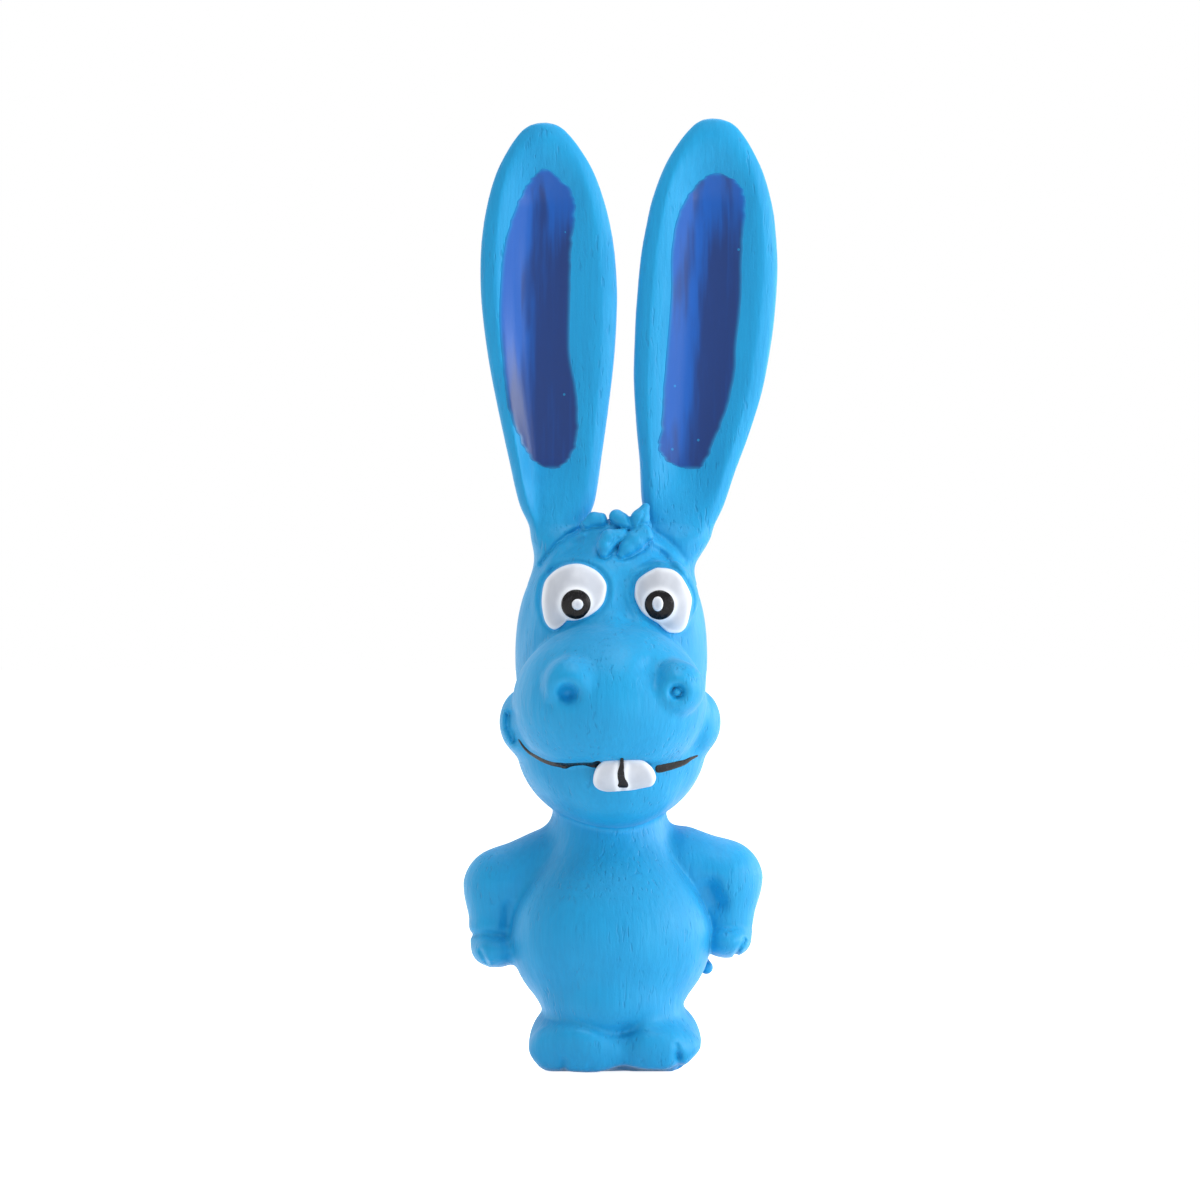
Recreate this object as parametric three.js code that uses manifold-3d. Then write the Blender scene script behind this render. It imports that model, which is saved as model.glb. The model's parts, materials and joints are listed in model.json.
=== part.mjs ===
// A squeaky dog toy: a standing long-eared donkey, slip-cast in blue latex and stuffed with fibre
// round a bulb squeaker. Millimetres, +Z up. The toy faces -Y, and the origin is the middle of the
// base that it stands on. Left and right are the animal's own, so its left side is at +X.
import * as THREE from "three";
import { mergeVertices } from "three/addons/utils/BufferGeometryUtils.js";
import Module from "manifold-3d";

const wasm = await Module();
wasm.setup();

// Skin and clearances
const skinWall = 2.2;
const seamGap = 0.3;
const paintThickness = 0.7;
const cutOverrun = 5;

// Body: belly, shoulders, neck and the stub that it stands on
const bellyHalfWidth = 23.2;
const bellyHalfDepth = 20;
const bellyHalfHeight = 21;
const bellyZ = 31;
const bellyForward = 2;
const bodySideShift = 0.5;
const shoulderRadius = 16;
const shoulderZ = 40;
const shoulderBack = 1;
const neckRadius = 12.8;
const neckTopZ = 66;
const neckBack = 2;
const neckBlend = 6;
const stubTopRadius = 15;
const stubTopZ = 16;
const stubRadius = 13;
const stubBlend = 4;

// Arms, with the hands tucked against the hips
const armShoulderX = 15.5;
const rightShoulderZ = 46.5;
const leftShoulderZ = 47.4;
const armShoulderRadius = 9;
const armElbowX = 25.3;
const shoulderDrop = 5;
const armElbowRadius = 9;
const armBack = 2;
const wristRadius = 6;
const wristRise = 2.5;
const rightHandX = 27;
const rightHandZ = 27.6;
const leftHandX = 26.2;
const leftHandZ = 29.8;
const handHalfWidth = 5.6;
const handHalfDepth = 7;
const handHalfHeight = 3.9;
const handForward = 1;
const handBlend = 2;

// Feet
const footX = 9.8;
const footHalfWidth = 10;
const footHalfDepth = 14.5;
const footHalfHeight = 10.2;
const footForward = 6;
const footZ = 6.5;
const toeZ = 4.5;
const innerToeRadius = 5.8;
const innerToeOut = 6.5;
const innerToeForward = 15;
const outerToeRadius = 4.9;
const outerToeOut = 15;
const outerToeForward = 12.5;
const toeBlend = 1.5;
const feetMiddleX = 0.5;

// Head: skull, crown, jaw and cheeks
const headSideShift = 0.4;
const skullHalfWidth = 22;
const skullHalfDepth = 20;
const skullHalfHeight = 24;
const skullZ = 92;
const skullBack = 3;
const crownHalfWidth = 20;
const crownHalfDepth = 17;
const crownHalfHeight = 19;
const crownZ = 106;
const skullBlend = 8;
const jawHalfWidth = 22;
const jawHalfDepth = 20;
const jawHalfHeight = 20;
const jawZ = 76;
const jawForward = 4;
const jawBlend = 6;
const cheekHalfWidth = 6.4;
const cheekHalfDepth = 8;
const cheekX = 19.4;
const cheekForward = 8;
const cheekZ = 80.5;
const cheekBlend = 3;

// Muzzle, with a smiling lower edge and two nostril mounds
const muzzleHalfWidth = 22;
const muzzleHalfDepth = 19;
const muzzleHalfHeight = 18.5;
const muzzleForward = 15;
const muzzleZ = 85;
const lipZ = 70.8;
const smileRise = 6;
const lipBlend = 3;
const muzzleBlend = 1.6;
const rightNostrilX = -7.6;
const rightNostrilForward = 27.5;
const rightMoundRadius = 7.5;
const leftNostrilX = 13.6;
const leftNostrilForward = 25;
const leftMoundRadius = 6.9;
const nostrilZ = 89;
const moundBlend = 3;
const pitRadius = 2;
const pitDepth = 3;
const pitOutward = 1.6;
const pitDrop = 1.2;

// Eyes: painted domes
const rightEyeX = -8.7;
const leftEyeX = 11.8;
const eyeZ = 109;
const eyeForward = 9.5;
const domeHalfWidth = 7.6;
const domeHalfDepth = 6.8;
const domeHalfHeight = 8.4;
const domeBlend = 1.5;
const eyeHalfWidth = 6.9;
const eyeHalfHeight = 7.5;
const pupilRadius = 3.4;
const pupilInward = 0.6;
const pupilDrop = 1.3;
const eyeDotRadius = 1.4;
const eyePaintBackY = 6;
const eyeOutlineShares = [
  [0, 1], [0.4, 0.95], [0.75, 0.75], [0.96, 0.45], [1, 0], [0.98, -0.4], [0.88, -0.78], [0.62, -0.97],
  [0.38, -0.9], [0.1, -0.72], [-0.3, -0.68], [-0.6, -0.5], [-0.85, -0.25], [-1, 0.15], [-0.95, 0.5],
  [-0.7, 0.8], [-0.35, 0.96],
];

// Two front teeth, moulded as one pad under the lip
const teethX = 2.7;
const teethZ = 67.4;
const teethHalfWidth = 7.2;
const teethHalfHeight = 3.6;
const teethThickness = 1.5;
const teethOutlineShares = [
  [0, 1], [0.75, 1], [0.97, 0.6], [0.95, -0.1], [0.62, -0.85], [0, -1], [-0.62, -1], [-0.85, -0.5],
  [-1, 0.5], [-0.75, 0.95],
];

// Ears: flat leaves that bend at a rounded root, cupped forward, with a painted hollow in front
const earZ = 122.5;
const earBack = 4;
const rightEarX = -12.6;
const leftEarX = 14.8;
const rightEarLength = 96.6;
const leftEarLength = 97.9;
const rightEarLean = -2.2;
const leftEarLean = 5.4;
const rightEarBow = 0;
const leftEarBow = 1.6;
const earHalfWidth = 15.9;
const earHalfThickness = 4.4;
const earRootRadius = 6;
const earCup = 3;
const hollowDepth = 4.6;
const hollowHalfWidth = 9;
const hollowStart = 14;
const hollowEnd = 88;
const rightHollowShift = -3.4;
const leftHollowShift = 1;
const rightEarWidthShares = [
  [0, 0.41], [0.035, 0.42], [0.09, 0.55], [0.2, 0.68], [0.32, 0.81], [0.44, 0.92], [0.56, 0.985],
  [0.64, 0.99], [0.72, 0.955], [0.8, 0.865], [0.88, 0.71], [0.94, 0.51], [0.98, 0.3], [1, 0.02],
];
const leftEarWidthShares = [
  [0, 0.46], [0.035, 0.475], [0.09, 0.6], [0.175, 0.7], [0.26, 0.82], [0.37, 0.94], [0.48, 0.995],
  [0.55, 1.01], [0.66, 1], [0.74, 0.945], [0.8, 0.88], [0.88, 0.72], [0.94, 0.52], [0.98, 0.31], [1, 0.02],
];
const earThicknessShares = [
  [0, 1.36], [0.04, 1.02], [0.12, 0.98], [0.6, 0.93], [0.86, 0.8], [0.95, 0.6], [1, 0.05],
];
const earPaintHalfWidth = 8.1;
const earPaintStart = 17;
const earPaintEnd = 85.5;
const earPaintOutlineShares = [
  [0, 1], [0.5, 0.93], [0.85, 0.76], [1, 0.42], [0.97, 0], [1, -0.5], [0.86, -0.8], [0.5, -0.95],
  [0, -1], [-0.5, -0.95], [-0.86, -0.8], [-1, -0.5], [-1, 0], [-0.97, 0.42], [-0.85, 0.76],
  [-0.5, 0.93],
];

// Tail: laid round the left hip, as angles from the back and shares of the belly's height
const tailRootRadius = 1.7;
const tailTipRadius = 1.5;
const tailAngles = [5, 24, 44, 62, 73].map(THREE.MathUtils.degToRad);
const tailHeightShares = [0.55, 0.68, 0.8, 0.82, 0.76];

// Forelock: tufts on the crown, each from a root to a tip that bends
const tuftRadius = 2.9;
const tuftLength = 8;
const tuftBack = -7;
const tuftTable = {
  xShares: [-0.42, 0.1, 0.55, 0.32, 0.82],
  leanShares: [-0.2, 0, 0.35, -0.7, -0.3],
  riseShares: [0.95, 1, 1.2, -0.3, -0.3],
  forwardShares: [0.1, 0.15, 0.1, 0.6, 0.6],
};
const tuftSpread = 9;

// Base disc, glued into the stuffing hole
const holeRadius = 8;
const discThickness = 2;
const ventRadius = 1.25;
const ventOffset = 4.5;

// Bulb squeaker in the belly, its axis along Y
const bulbRadius = 13;
const bulbWall = 1.2;
const bulbFrontY = -15.5;
const bulbFrontLength = 7;
const foldLength = 7;
const foldWall = 0.9;
const foldDepth = 1.8;
const bulbBackLength = 5.9;
const collarRadius = 5.2;
const collarLength = 4;
const tubeRadius = 3.7;
const tubeBore = 2.75;
const tubeLength = 10;
const flangeRadius = 5;
const flangeThickness = 1;
const blockLength = 8;
const blockDrop = 0.2;
const channelHalfWidth = 0.9;
const channelDepth = 1.1;
const reedHalfWidth = 1.8;
const reedThickness = 0.25;
const reedLength = 7.4;

// Fibre stuffing
const wadSplitY = -4;

// Fields: each gives the distance from a point to a form, less than zero inside it
const ellipsoid = ([cx, cy, cz], [rx, ry, rz]) => (x, y, z) => {
  const near = Math.hypot((x - cx) / rx, (y - cy) / ry, (z - cz) / rz);
  const slope = Math.hypot((x - cx) / rx ** 2, (y - cy) / ry ** 2, (z - cz) / rz ** 2);
  return slope > 0 ? (near * (near - 1)) / slope : -Math.min(rx, ry, rz);
};

const limb = (a, b, ra, rb) => {
  const start = new THREE.Vector3(...a);
  const along = new THREE.Vector3(...b).sub(start);
  const point = new THREE.Vector3();
  return (x, y, z) => {
    point.set(x, y, z).sub(start);
    const share = THREE.MathUtils.clamp(point.dot(along) / along.lengthSq(), 0, 1);
    return point.addScaledVector(along, -share).length() - THREE.MathUtils.lerp(ra, rb, share);
  };
};

const softMin = (a, b, k) => {
  const overlap = Math.max(k - Math.abs(a - b), 0) / k;
  return Math.min(a, b) - (overlap * overlap * k) / 4;
};

const blend = (k, ...fields) => (x, y, z) =>
  fields.map((field) => field(x, y, z)).reduce((a, b) => softMin(a, b, k));

const within = (k, a, b) => (x, y, z) => -softMin(-a(x, y, z), -b(x, y, z), k);

// Solids: closed meshes that manifold-3d can join and cut
function solidOf(points, faces) {
  const mesh = new wasm.Mesh({
    numProp: 3,
    vertProperties: Float32Array.from(points.flatMap((p) => [p.x, p.y, p.z])),
    triVerts: Uint32Array.from(faces.flat()),
  });
  return new wasm.Manifold(mesh);
}

function solidFrom(geometry) {
  geometry.deleteAttribute("normal");
  geometry.deleteAttribute("uv");
  const merged = mergeVertices(geometry);
  const mesh = new wasm.Mesh({
    numProp: 3,
    vertProperties: Float32Array.from(merged.attributes.position.array),
    triVerts: Uint32Array.from(merged.index.array),
  });
  return new wasm.Manifold(mesh);
}

function geometryOf(solid) {
  const { vertProperties, triVerts } = solid.getMesh();
  const geometry = new THREE.BufferGeometry();
  geometry.setAttribute("position", new THREE.BufferAttribute(vertProperties, 3));
  geometry.setIndex(new THREE.BufferAttribute(triVerts, 1));
  geometry.computeVertexNormals();
  return geometry;
}

// What a cut leaves of a piece, without the crumbs beside it
const mainBody = (solid) => solid.decompose().reduce((a, b) => (a.volume() > b.volume() ? a : b));

// Rings of points, joined into one closed skin from a first point to a last one
function skinOver(first, rings, last) {
  const columns = rings[0].length;
  const points = [first, ...rings.flat(), last];
  const at = (row, column) => 1 + row * columns + (column % columns);
  const faces = [];
  for (let j = 0; j < columns; j += 1) {
    faces.push([0, at(0, j), at(0, j + 1)]);
    faces.push([points.length - 1, at(rings.length - 1, j + 1), at(rings.length - 1, j)]);
    for (let i = 0; i + 1 < rings.length; i += 1) {
      faces.push([at(i, j), at(i + 1, j), at(i + 1, j + 1)]);
      faces.push([at(i, j), at(i + 1, j + 1), at(i, j + 1)]);
    }
  }
  return solidOf(points, faces);
}

// The first point, going out from a start inside the form, where the field reaches an offset
const castSteps = 80;
const castHalvings = 24;
function surfacePoint(field, start, direction, offset, reach) {
  const at = (distance) => start.clone().addScaledVector(direction, distance);
  const height = (p) => field(p.x, p.y, p.z) - offset;
  let near = 0;
  let far = reach;
  for (let i = 1; i <= castSteps; i += 1) {
    far = (reach * i) / castSteps;
    if (height(at(far)) > 0) break;
    near = far;
  }
  for (let i = 0; i < castHalvings; i += 1) {
    const middle = (near + far) / 2;
    if (height(at(middle)) > 0) far = middle;
    else near = middle;
  }
  return at(far);
}

// A form's skin, cast from a middle point on lines of longitude, crowded to the front, and latitude
function cast(field, { centre, reach, columns, rows, crowding = 1 }, offset = 0) {
  const start = new THREE.Vector3(...centre);
  const pointAt = (longitude, latitude) => {
    const direction = new THREE.Vector3(
      Math.cos(latitude) * Math.cos(longitude),
      Math.cos(latitude) * Math.sin(longitude),
      Math.sin(latitude),
    );
    return surfacePoint(field, start, direction, offset, reach);
  };
  const longitudeOf = (column) => {
    const share = (2 * column) / columns - 1;
    return -Math.PI / 2 + Math.PI * share * (crowding + (1 - crowding) * share * share);
  };
  const rings = Array.from({ length: rows - 1 }, (_, row) => {
    const latitude = Math.PI / 2 - (Math.PI * (row + 1)) / rows;
    return Array.from({ length: columns }, (_, column) => pointAt(longitudeOf(column), latitude));
  });
  return skinOver(pointAt(0, Math.PI / 2), rings, pointAt(0, -Math.PI / 2));
}

// A lathe about the Y axis of the squeaker, from points of radius and place along the axis
function turned(profile, segments = 20) {
  const outline = profile.map(([radius, y]) => new THREE.Vector2(radius, y));
  const geometry = new THREE.LatheGeometry(outline, segments);
  geometry.translate(-bodySideShift, 0, bellyZ);
  return solidFrom(geometry);
}

// An upright round peg or hole
function upright(radius, bottomZ, topZ, [x, y], segments = 20) {
  const geometry = new THREE.CylinderGeometry(radius, radius, topZ - bottomZ, segments);
  geometry.rotateX(Math.PI / 2);
  geometry.translate(x, y, (bottomZ + topZ) / 2);
  return solidFrom(geometry);
}

// An outline of X and Z places, drawn out along Y
function prism(points, frontY, backY) {
  const shape = new THREE.Shape(points.map(([x, z]) => new THREE.Vector2(x, z)));
  const geometry = new THREE.ExtrudeGeometry(shape, { depth: backY - frontY, bevelEnabled: false });
  geometry.rotateX(Math.PI / 2);
  geometry.translate(0, backY, 0);
  return solidFrom(geometry);
}

const outlineOf = (shares, [x, z], [halfWidth, halfHeight]) =>
  shares.map(([across, up]) => [x + across * halfWidth, z + up * halfHeight]);

function roundOutline([x, z], radius, sides = 20) {
  return Array.from({ length: sides }, (_, i) => {
    const angle = (2 * Math.PI * i) / sides;
    return [x + radius * Math.cos(angle), z + radius * Math.sin(angle)];
  });
}

// A tapering round rod along a curve
function rod(points, radii, { steps = 8, sides = 8 } = {}) {
  const curve = new THREE.CatmullRomCurve3(points);
  const frames = curve.computeFrenetFrames(steps);
  const rings = frames.tangents.map((_, step) => {
    const share = step / steps;
    const middle = curve.getPointAt(share);
    const radius = valueAt(radii, share);
    return Array.from({ length: sides }, (_, side) => {
      const angle = (-2 * Math.PI * side) / sides;
      return middle
        .clone()
        .addScaledVector(frames.normals[step], radius * Math.cos(angle))
        .addScaledVector(frames.binormals[step], radius * Math.sin(angle));
    });
  });
  return skinOver(points[0], rings, points[points.length - 1]);
}

// A smooth curve through a table of places and values, read at one place
function valueAt(table, place) {
  const last = table.length - 1;
  const found = table.findIndex(([at]) => at >= place);
  const right = THREE.MathUtils.clamp(found < 0 ? last : found, 1, last);
  const left = right - 1;
  const slope = (i) => {
    const [a, b] = [Math.max(i - 1, 0), Math.min(i + 1, last)];
    return (table[b][1] - table[a][1]) / (table[b][0] - table[a][0]);
  };
  const span = table[right][0] - table[left][0];
  const t = THREE.MathUtils.clamp((place - table[left][0]) / span, 0, 1);
  const [t2, t3] = [t * t, t * t * t];
  return (
    (2 * t3 - 3 * t2 + 1) * table[left][1] +
    (t3 - 2 * t2 + t) * span * slope(left) +
    (3 * t2 - 2 * t3) * table[right][1] +
    (t3 - t2) * span * slope(right)
  );
}

// Body form
const belly = ellipsoid(
  [-bodySideShift, -bellyForward, bellyZ],
  [bellyHalfWidth, bellyHalfDepth, bellyHalfHeight],
);
const neck = limb(
  [-bodySideShift, shoulderBack, shoulderZ],
  [-bodySideShift, neckBack, neckTopZ],
  shoulderRadius,
  neckRadius,
);
const stub = limb([0, 0, stubTopZ], [0, 0, 0], stubTopRadius, stubRadius);
const bodyForm = blend(stubBlend, blend(neckBlend, belly, neck), stub);
const bodyGrid = {
  centre: [-bodySideShift, -bellyForward / 2, bellyZ],
  reach: neckTopZ,
  columns: 28,
  rows: 20,
};
const bodyInnerGrid = { ...bodyGrid, columns: 18, rows: 12 };
const bodyGrown = cast(bodyForm, bodyGrid, seamGap);

// Head form
const skull = blend(
  skullBlend,
  ellipsoid([-headSideShift, skullBack, skullZ], [skullHalfWidth, skullHalfDepth, skullHalfHeight]),
  ellipsoid([-headSideShift, skullBack, crownZ], [crownHalfWidth, crownHalfDepth, crownHalfHeight]),
);
const jaw = ellipsoid([-headSideShift, -jawForward, jawZ], [jawHalfWidth, jawHalfDepth, jawHalfHeight]);
const cheek = (side) =>
  ellipsoid(
    [side * cheekX - headSideShift, -cheekForward, cheekZ],
    [cheekHalfWidth, cheekHalfDepth, cheekHalfDepth],
  );
const aboveSmile = (x, y, z) => lipZ + smileRise * ((x + headSideShift) / muzzleHalfWidth) ** 4 - z;
const muzzle = within(
  lipBlend,
  ellipsoid(
    [-headSideShift, -muzzleForward, muzzleZ],
    [muzzleHalfWidth, muzzleHalfDepth, muzzleHalfHeight],
  ),
  aboveSmile,
);
const mound = (x, forward, radius) => ellipsoid([x, -forward, nostrilZ], [radius, radius, radius]);
const snout = blend(
  moundBlend,
  muzzle,
  mound(rightNostrilX, rightNostrilForward, rightMoundRadius),
  mound(leftNostrilX, leftNostrilForward, leftMoundRadius),
);
const dome = (x) => ellipsoid([x, -eyeForward, eyeZ], [domeHalfWidth, domeHalfDepth, domeHalfHeight]);
const cranium = blend(cheekBlend, blend(jawBlend, skull, jaw), cheek(-1), cheek(1));
const headForm = blend(domeBlend, blend(muzzleBlend, cranium, snout), dome(rightEyeX), dome(leftEyeX));
const headGrid = {
  centre: [-headSideShift, -bellyForward, skullZ],
  reach: skullZ,
  columns: 36,
  rows: 28,
  crowding: 0.6,
};
const innerHeadGrid = { ...headGrid, columns: 18, rows: 12, crowding: 1 };
const neckGrown = bodyGrown.trimByPlane([0, 0, -1], -(neckTopZ + seamGap));

// Ear form: a leaf in its own frame, across X, thick along Y, from its hinge at zero up Z
const rootSection = (across, radius, halfLength) =>
  radius * Math.max(0, 1 - Math.abs(across / halfLength) ** 4) ** 0.25;

function earSection({ length, widthShares, bow }, place) {
  const share = place / length;
  const swell = Math.sin(Math.PI * Math.min(1, share));
  return {
    halfWidth: earHalfWidth * valueAt(widthShares, share),
    thickness: earHalfThickness * valueAt(earThicknessShares, share),
    cup: earCup * swell,
    middleX: bow * swell,
  };
}

function hollowAt(across, place, shift) {
  const middle = (hollowStart + hollowEnd) / 2;
  const up = (place - middle) / ((hollowEnd - hollowStart) / 2);
  const out = (across - shift) / hollowHalfWidth;
  const open = Math.max(0, 1 - up ** 4) * Math.max(0, 1 - out * out) ** 1.2;
  return hollowDepth * open;
}

function earRing(ear, place, lift) {
  const { halfWidth, thickness, cup, middleX } = earSection(ear, place);
  return Array.from({ length: earColumns }, (_, column) => {
    const angle = (2 * Math.PI * column) / earColumns;
    const across = halfWidth * Math.cos(angle);
    const edge = Math.abs(Math.sin(angle)) ** 0.8;
    const middle = -cup * Math.cos(angle) ** 2 + cup / 3;
    const y =
      Math.sin(angle) > 0
        ? middle + thickness * edge
        : middle - thickness * edge + hollowAt(across, place, ear.shift) - lift;
    return new THREE.Vector3(across + middleX, y, place);
  });
}

const rootHalfLength = ({ widthShares }) => earHalfWidth * widthShares[0][1];

function rootRing(ear, drop) {
  const height = earRootRadius * drop;
  const halfWidth = rootHalfLength(ear) * (1 - drop ** 4) ** 0.25;
  return Array.from({ length: earColumns }, (_, column) => {
    const angle = (2 * Math.PI * column) / earColumns;
    const across = halfWidth * Math.cos(angle);
    const radius = rootSection(across, earRootRadius, rootHalfLength(ear));
    const reach = Math.sqrt(Math.max(0, radius ** 2 - height ** 2));
    return new THREE.Vector3(across, Math.sign(Math.sin(angle)) * reach, -height);
  });
}

const earPlaceShares = [0.99, 0.965, 0.92, 0.86, 0.79, 0.71, 0.62, 0.52, 0.42, 0.32, 0.23, 0.15, 0.08, 0.03];
const rootDropShares = [0.18, 0.55, 0.88];
const earColumns = 20;

function earLeaf(ear, lift = 0) {
  const rings = [
    ...earPlaceShares.map((share) => earRing(ear, share * ear.length, lift)),
    ...rootDropShares.map((drop) => rootRing(ear, drop)),
  ];
  const tip = new THREE.Vector3(0, 0, ear.length);
  return skinOver(tip, rings, new THREE.Vector3(0, 0, -earRootRadius));
}

const ears = {
  right: {
    x: rightEarX,
    length: rightEarLength,
    lean: rightEarLean,
    bow: rightEarBow,
    shift: rightHollowShift,
    widthShares: rightEarWidthShares,
  },
  left: {
    x: leftEarX,
    length: leftEarLength,
    lean: leftEarLean,
    bow: leftEarBow,
    shift: leftHollowShift,
    widthShares: leftEarWidthShares,
  },
};

const placeEar = (solid, { x, lean }) => solid.rotate([0, lean, 0]).translate([x, earBack, earZ]);

const seatSteps = 8;
const seatSegments = 18;

function earSeat(ear, grown) {
  const radius = earRootRadius + grown;
  const halfLength = rootHalfLength(ear) + grown;
  const profile = Array.from({ length: seatSteps + 1 }, (_, i) => {
    const angle = (Math.PI * i) / seatSteps - Math.PI / 2;
    const across = halfLength * Math.sign(Math.sin(angle)) * Math.abs(Math.sin(angle)) ** 0.5;
    return new THREE.Vector2(rootSection(across, radius, halfLength), across);
  });
  const geometry = new THREE.LatheGeometry(profile, seatSegments);
  geometry.rotateZ(-Math.PI / 2);
  return placeEar(solidFrom(geometry), ear);
}

// Materials
const latexBlue = { color: "#2fa3dc", roughness: 0.62 };
const paintNavy = { color: "#2f4fa6", roughness: 0.35 };
const paintWhite = { color: "#e9eef5", roughness: 0.35 };
const paintBlack = { color: "#1d1b20", roughness: 0.3 };
const fibre = { color: "#e4e3dc", roughness: 0.95 };
const bulbPlastic = { color: "#d8d4c6", roughness: 0.5 };
const reedPlastic = { color: "#f2f2f0", roughness: 0.4 };

const toy = new THREE.Group();
toy.name = "squeaky_donkey_toy";

function add(name, solid, look) {
  const material = new THREE.MeshStandardMaterial({ metalness: 0, ...look });
  const mesh = new THREE.Mesh(geometryOf(solid), material);
  mesh.name = name;
  toy.add(mesh);
}

// Torso skin: a hollow latex shell, open into the head, with the stuffing hole in its sole
const hole = upright(holeRadius, -cutOverrun, skinWall + cutOverrun, [0, 0]);
const torsoOuter = cast(bodyForm, bodyGrid)
  .trimByPlane([0, 0, 1], 0)
  .trimByPlane([0, 0, -1], -neckTopZ);
const torsoHollow = cast(bodyForm, bodyInnerGrid, -skinWall).trimByPlane([0, 0, 1], skinWall);
add("torso_skin", torsoOuter.subtract(torsoHollow).subtract(hole), latexBlue);

// Head skin: a hollow shell with the neck through its underside, and a seat for each ear root
const wad = skinWall + seamGap;
const headHollow = cast(headForm, innerHeadGrid, -skinWall)
  .subtract(earSeat(ears.right, wad))
  .subtract(earSeat(ears.left, wad));
const nostrilPit = (x, forward, radius, side) => {
  const frontY = -forward - radius;
  const geometry = new THREE.SphereGeometry(pitRadius, 12, 8);
  geometry.scale(1, pitDepth / pitRadius, 1);
  geometry.translate(x + side * pitOutward, frontY, nostrilZ - pitDrop);
  return solidFrom(geometry);
};
const headSkin = cast(headForm, headGrid)
  .subtract(headHollow)
  .subtract(neckGrown)
  .subtract(earSeat(ears.right, seamGap))
  .subtract(earSeat(ears.left, seamGap))
  .subtract(nostrilPit(rightNostrilX, rightNostrilForward, rightMoundRadius, -1))
  .subtract(nostrilPit(leftNostrilX, leftNostrilForward, leftMoundRadius, 1));
add("head_skin", headSkin, latexBlue);

// Ears and the navy paint in their hollows
for (const [side, ear] of Object.entries(ears)) {
  add(`${side}_ear`, placeEar(earLeaf(ear), ear), latexBlue);
  const middle = (earPaintStart + earPaintEnd) / 2;
  const halfLength = (earPaintEnd - earPaintStart) / 2;
  const paintX = ear.shift + ear.bow;
  const outline = outlineOf(earPaintOutlineShares, [paintX, middle], [earPaintHalfWidth, halfLength]);
  const layer = earLeaf(ear, seamGap + paintThickness).subtract(earLeaf(ear, seamGap));
  const block = prism(outline, -earHalfWidth, earHalfThickness / 2);
  add(`${side}_ear_paint`, placeEar(block.intersect(layer), ear), paintNavy);
}

// Arms
const headGrown = cast(headForm, headGrid, seamGap);
function arm(side, shoulderZ, handX, handZ) {
  const elbowZ = shoulderZ - shoulderDrop;
  const shoulder = [side * armShoulderX, armBack, shoulderZ];
  const elbow = [side * armElbowX, armBack, elbowZ];
  const wrist = [side * handX, 0, handZ + wristRise];
  const form = blend(
    handBlend,
    limb(shoulder, elbow, armShoulderRadius, armElbowRadius),
    limb(elbow, wrist, armElbowRadius, wristRadius),
    ellipsoid([side * handX, -handForward, handZ], [handHalfWidth, handHalfDepth, handHalfHeight]),
  );
  const centre = [side * armElbowX, armBack / 2, (elbowZ + handZ) / 2];
  const grid = { centre, reach: shoulderZ, columns: 16, rows: 12 };
  return cast(form, grid).subtract(bodyGrown);
}
add("right_arm", arm(-1, rightShoulderZ, rightHandX, rightHandZ), latexBlue);
add("left_arm", arm(1, leftShoulderZ, leftHandX, leftHandZ), latexBlue);

// Feet, flat underneath and parted in the middle
function foot(side) {
  const centre = [feetMiddleX + side * footX, -footForward, footZ];
  const form = blend(
    toeBlend,
    ellipsoid(centre, [footHalfWidth, footHalfDepth, footHalfHeight]),
    ellipsoid(
      [feetMiddleX + side * innerToeOut, -innerToeForward, toeZ],
      [innerToeRadius, innerToeRadius, innerToeRadius],
    ),
    ellipsoid(
      [feetMiddleX + side * outerToeOut, -outerToeForward, toeZ],
      [outerToeRadius, outerToeRadius, outerToeRadius],
    ),
  );
  const grid = { centre, reach: footHalfDepth * 2, columns: 18, rows: 14 };
  const split = side * feetMiddleX + seamGap / 2;
  return cast(form, grid)
    .trimByPlane([0, 0, 1], 0)
    .trimByPlane([side, 0, 0], split)
    .subtract(bodyGrown);
}
add("right_foot", foot(-1), latexBlue);
add("left_foot", foot(1), latexBlue);

// Tail
const tailPoints = tailAngles.map((angle, i) => {
  const start = new THREE.Vector3(-bodySideShift, -bellyForward, bellyZ * tailHeightShares[i]);
  const direction = new THREE.Vector3(Math.sin(angle), Math.cos(angle), 0);
  return surfacePoint(bodyForm, start, direction, seamGap + tailRootRadius, bellyHalfWidth * 2);
});
const tailRadii = [[0, tailRootRadius], [0.6, tailRootRadius * 0.85], [1, tailTipRadius]];
const tail = rod(tailPoints, tailRadii, { steps: 12, sides: 8 });
add("tail", tail.subtract(bodyGrown), latexBlue);

// Forelock: five moulded tufts joined over the crown
const crownTop = (x, y) =>
  surfacePoint(
    headForm,
    new THREE.Vector3(x, y, skullZ),
    new THREE.Vector3(0, 0, 1),
    0,
    crownHalfHeight + crownZ - skullZ + cutOverrun,
  );
const tufts = tuftTable.xShares.map((xShare, i) => {
  const root = crownTop(headSideShift + xShare * tuftSpread, tuftBack);
  const step = new THREE.Vector3(
    tuftTable.leanShares[i] * tuftLength,
    -tuftTable.forwardShares[i] * tuftLength,
    tuftTable.riseShares[i] * tuftLength,
  );
  const middle = root.clone().addScaledVector(step, 0.5).add(new THREE.Vector3(0, -tuftRadius * 0.4, 0));
  const tip = root.clone().add(step);
  const radii = [[0, tuftRadius], [0.5, tuftRadius], [1, tuftRadius * 0.6]];
  return rod([root, middle, tip], radii, { steps: 4, sides: 6 });
});
const forelock = tufts.reduce((whole, tuft) => whole.add(tuft)).subtract(headGrown);
add("forelock", forelock, latexBlue);

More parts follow.
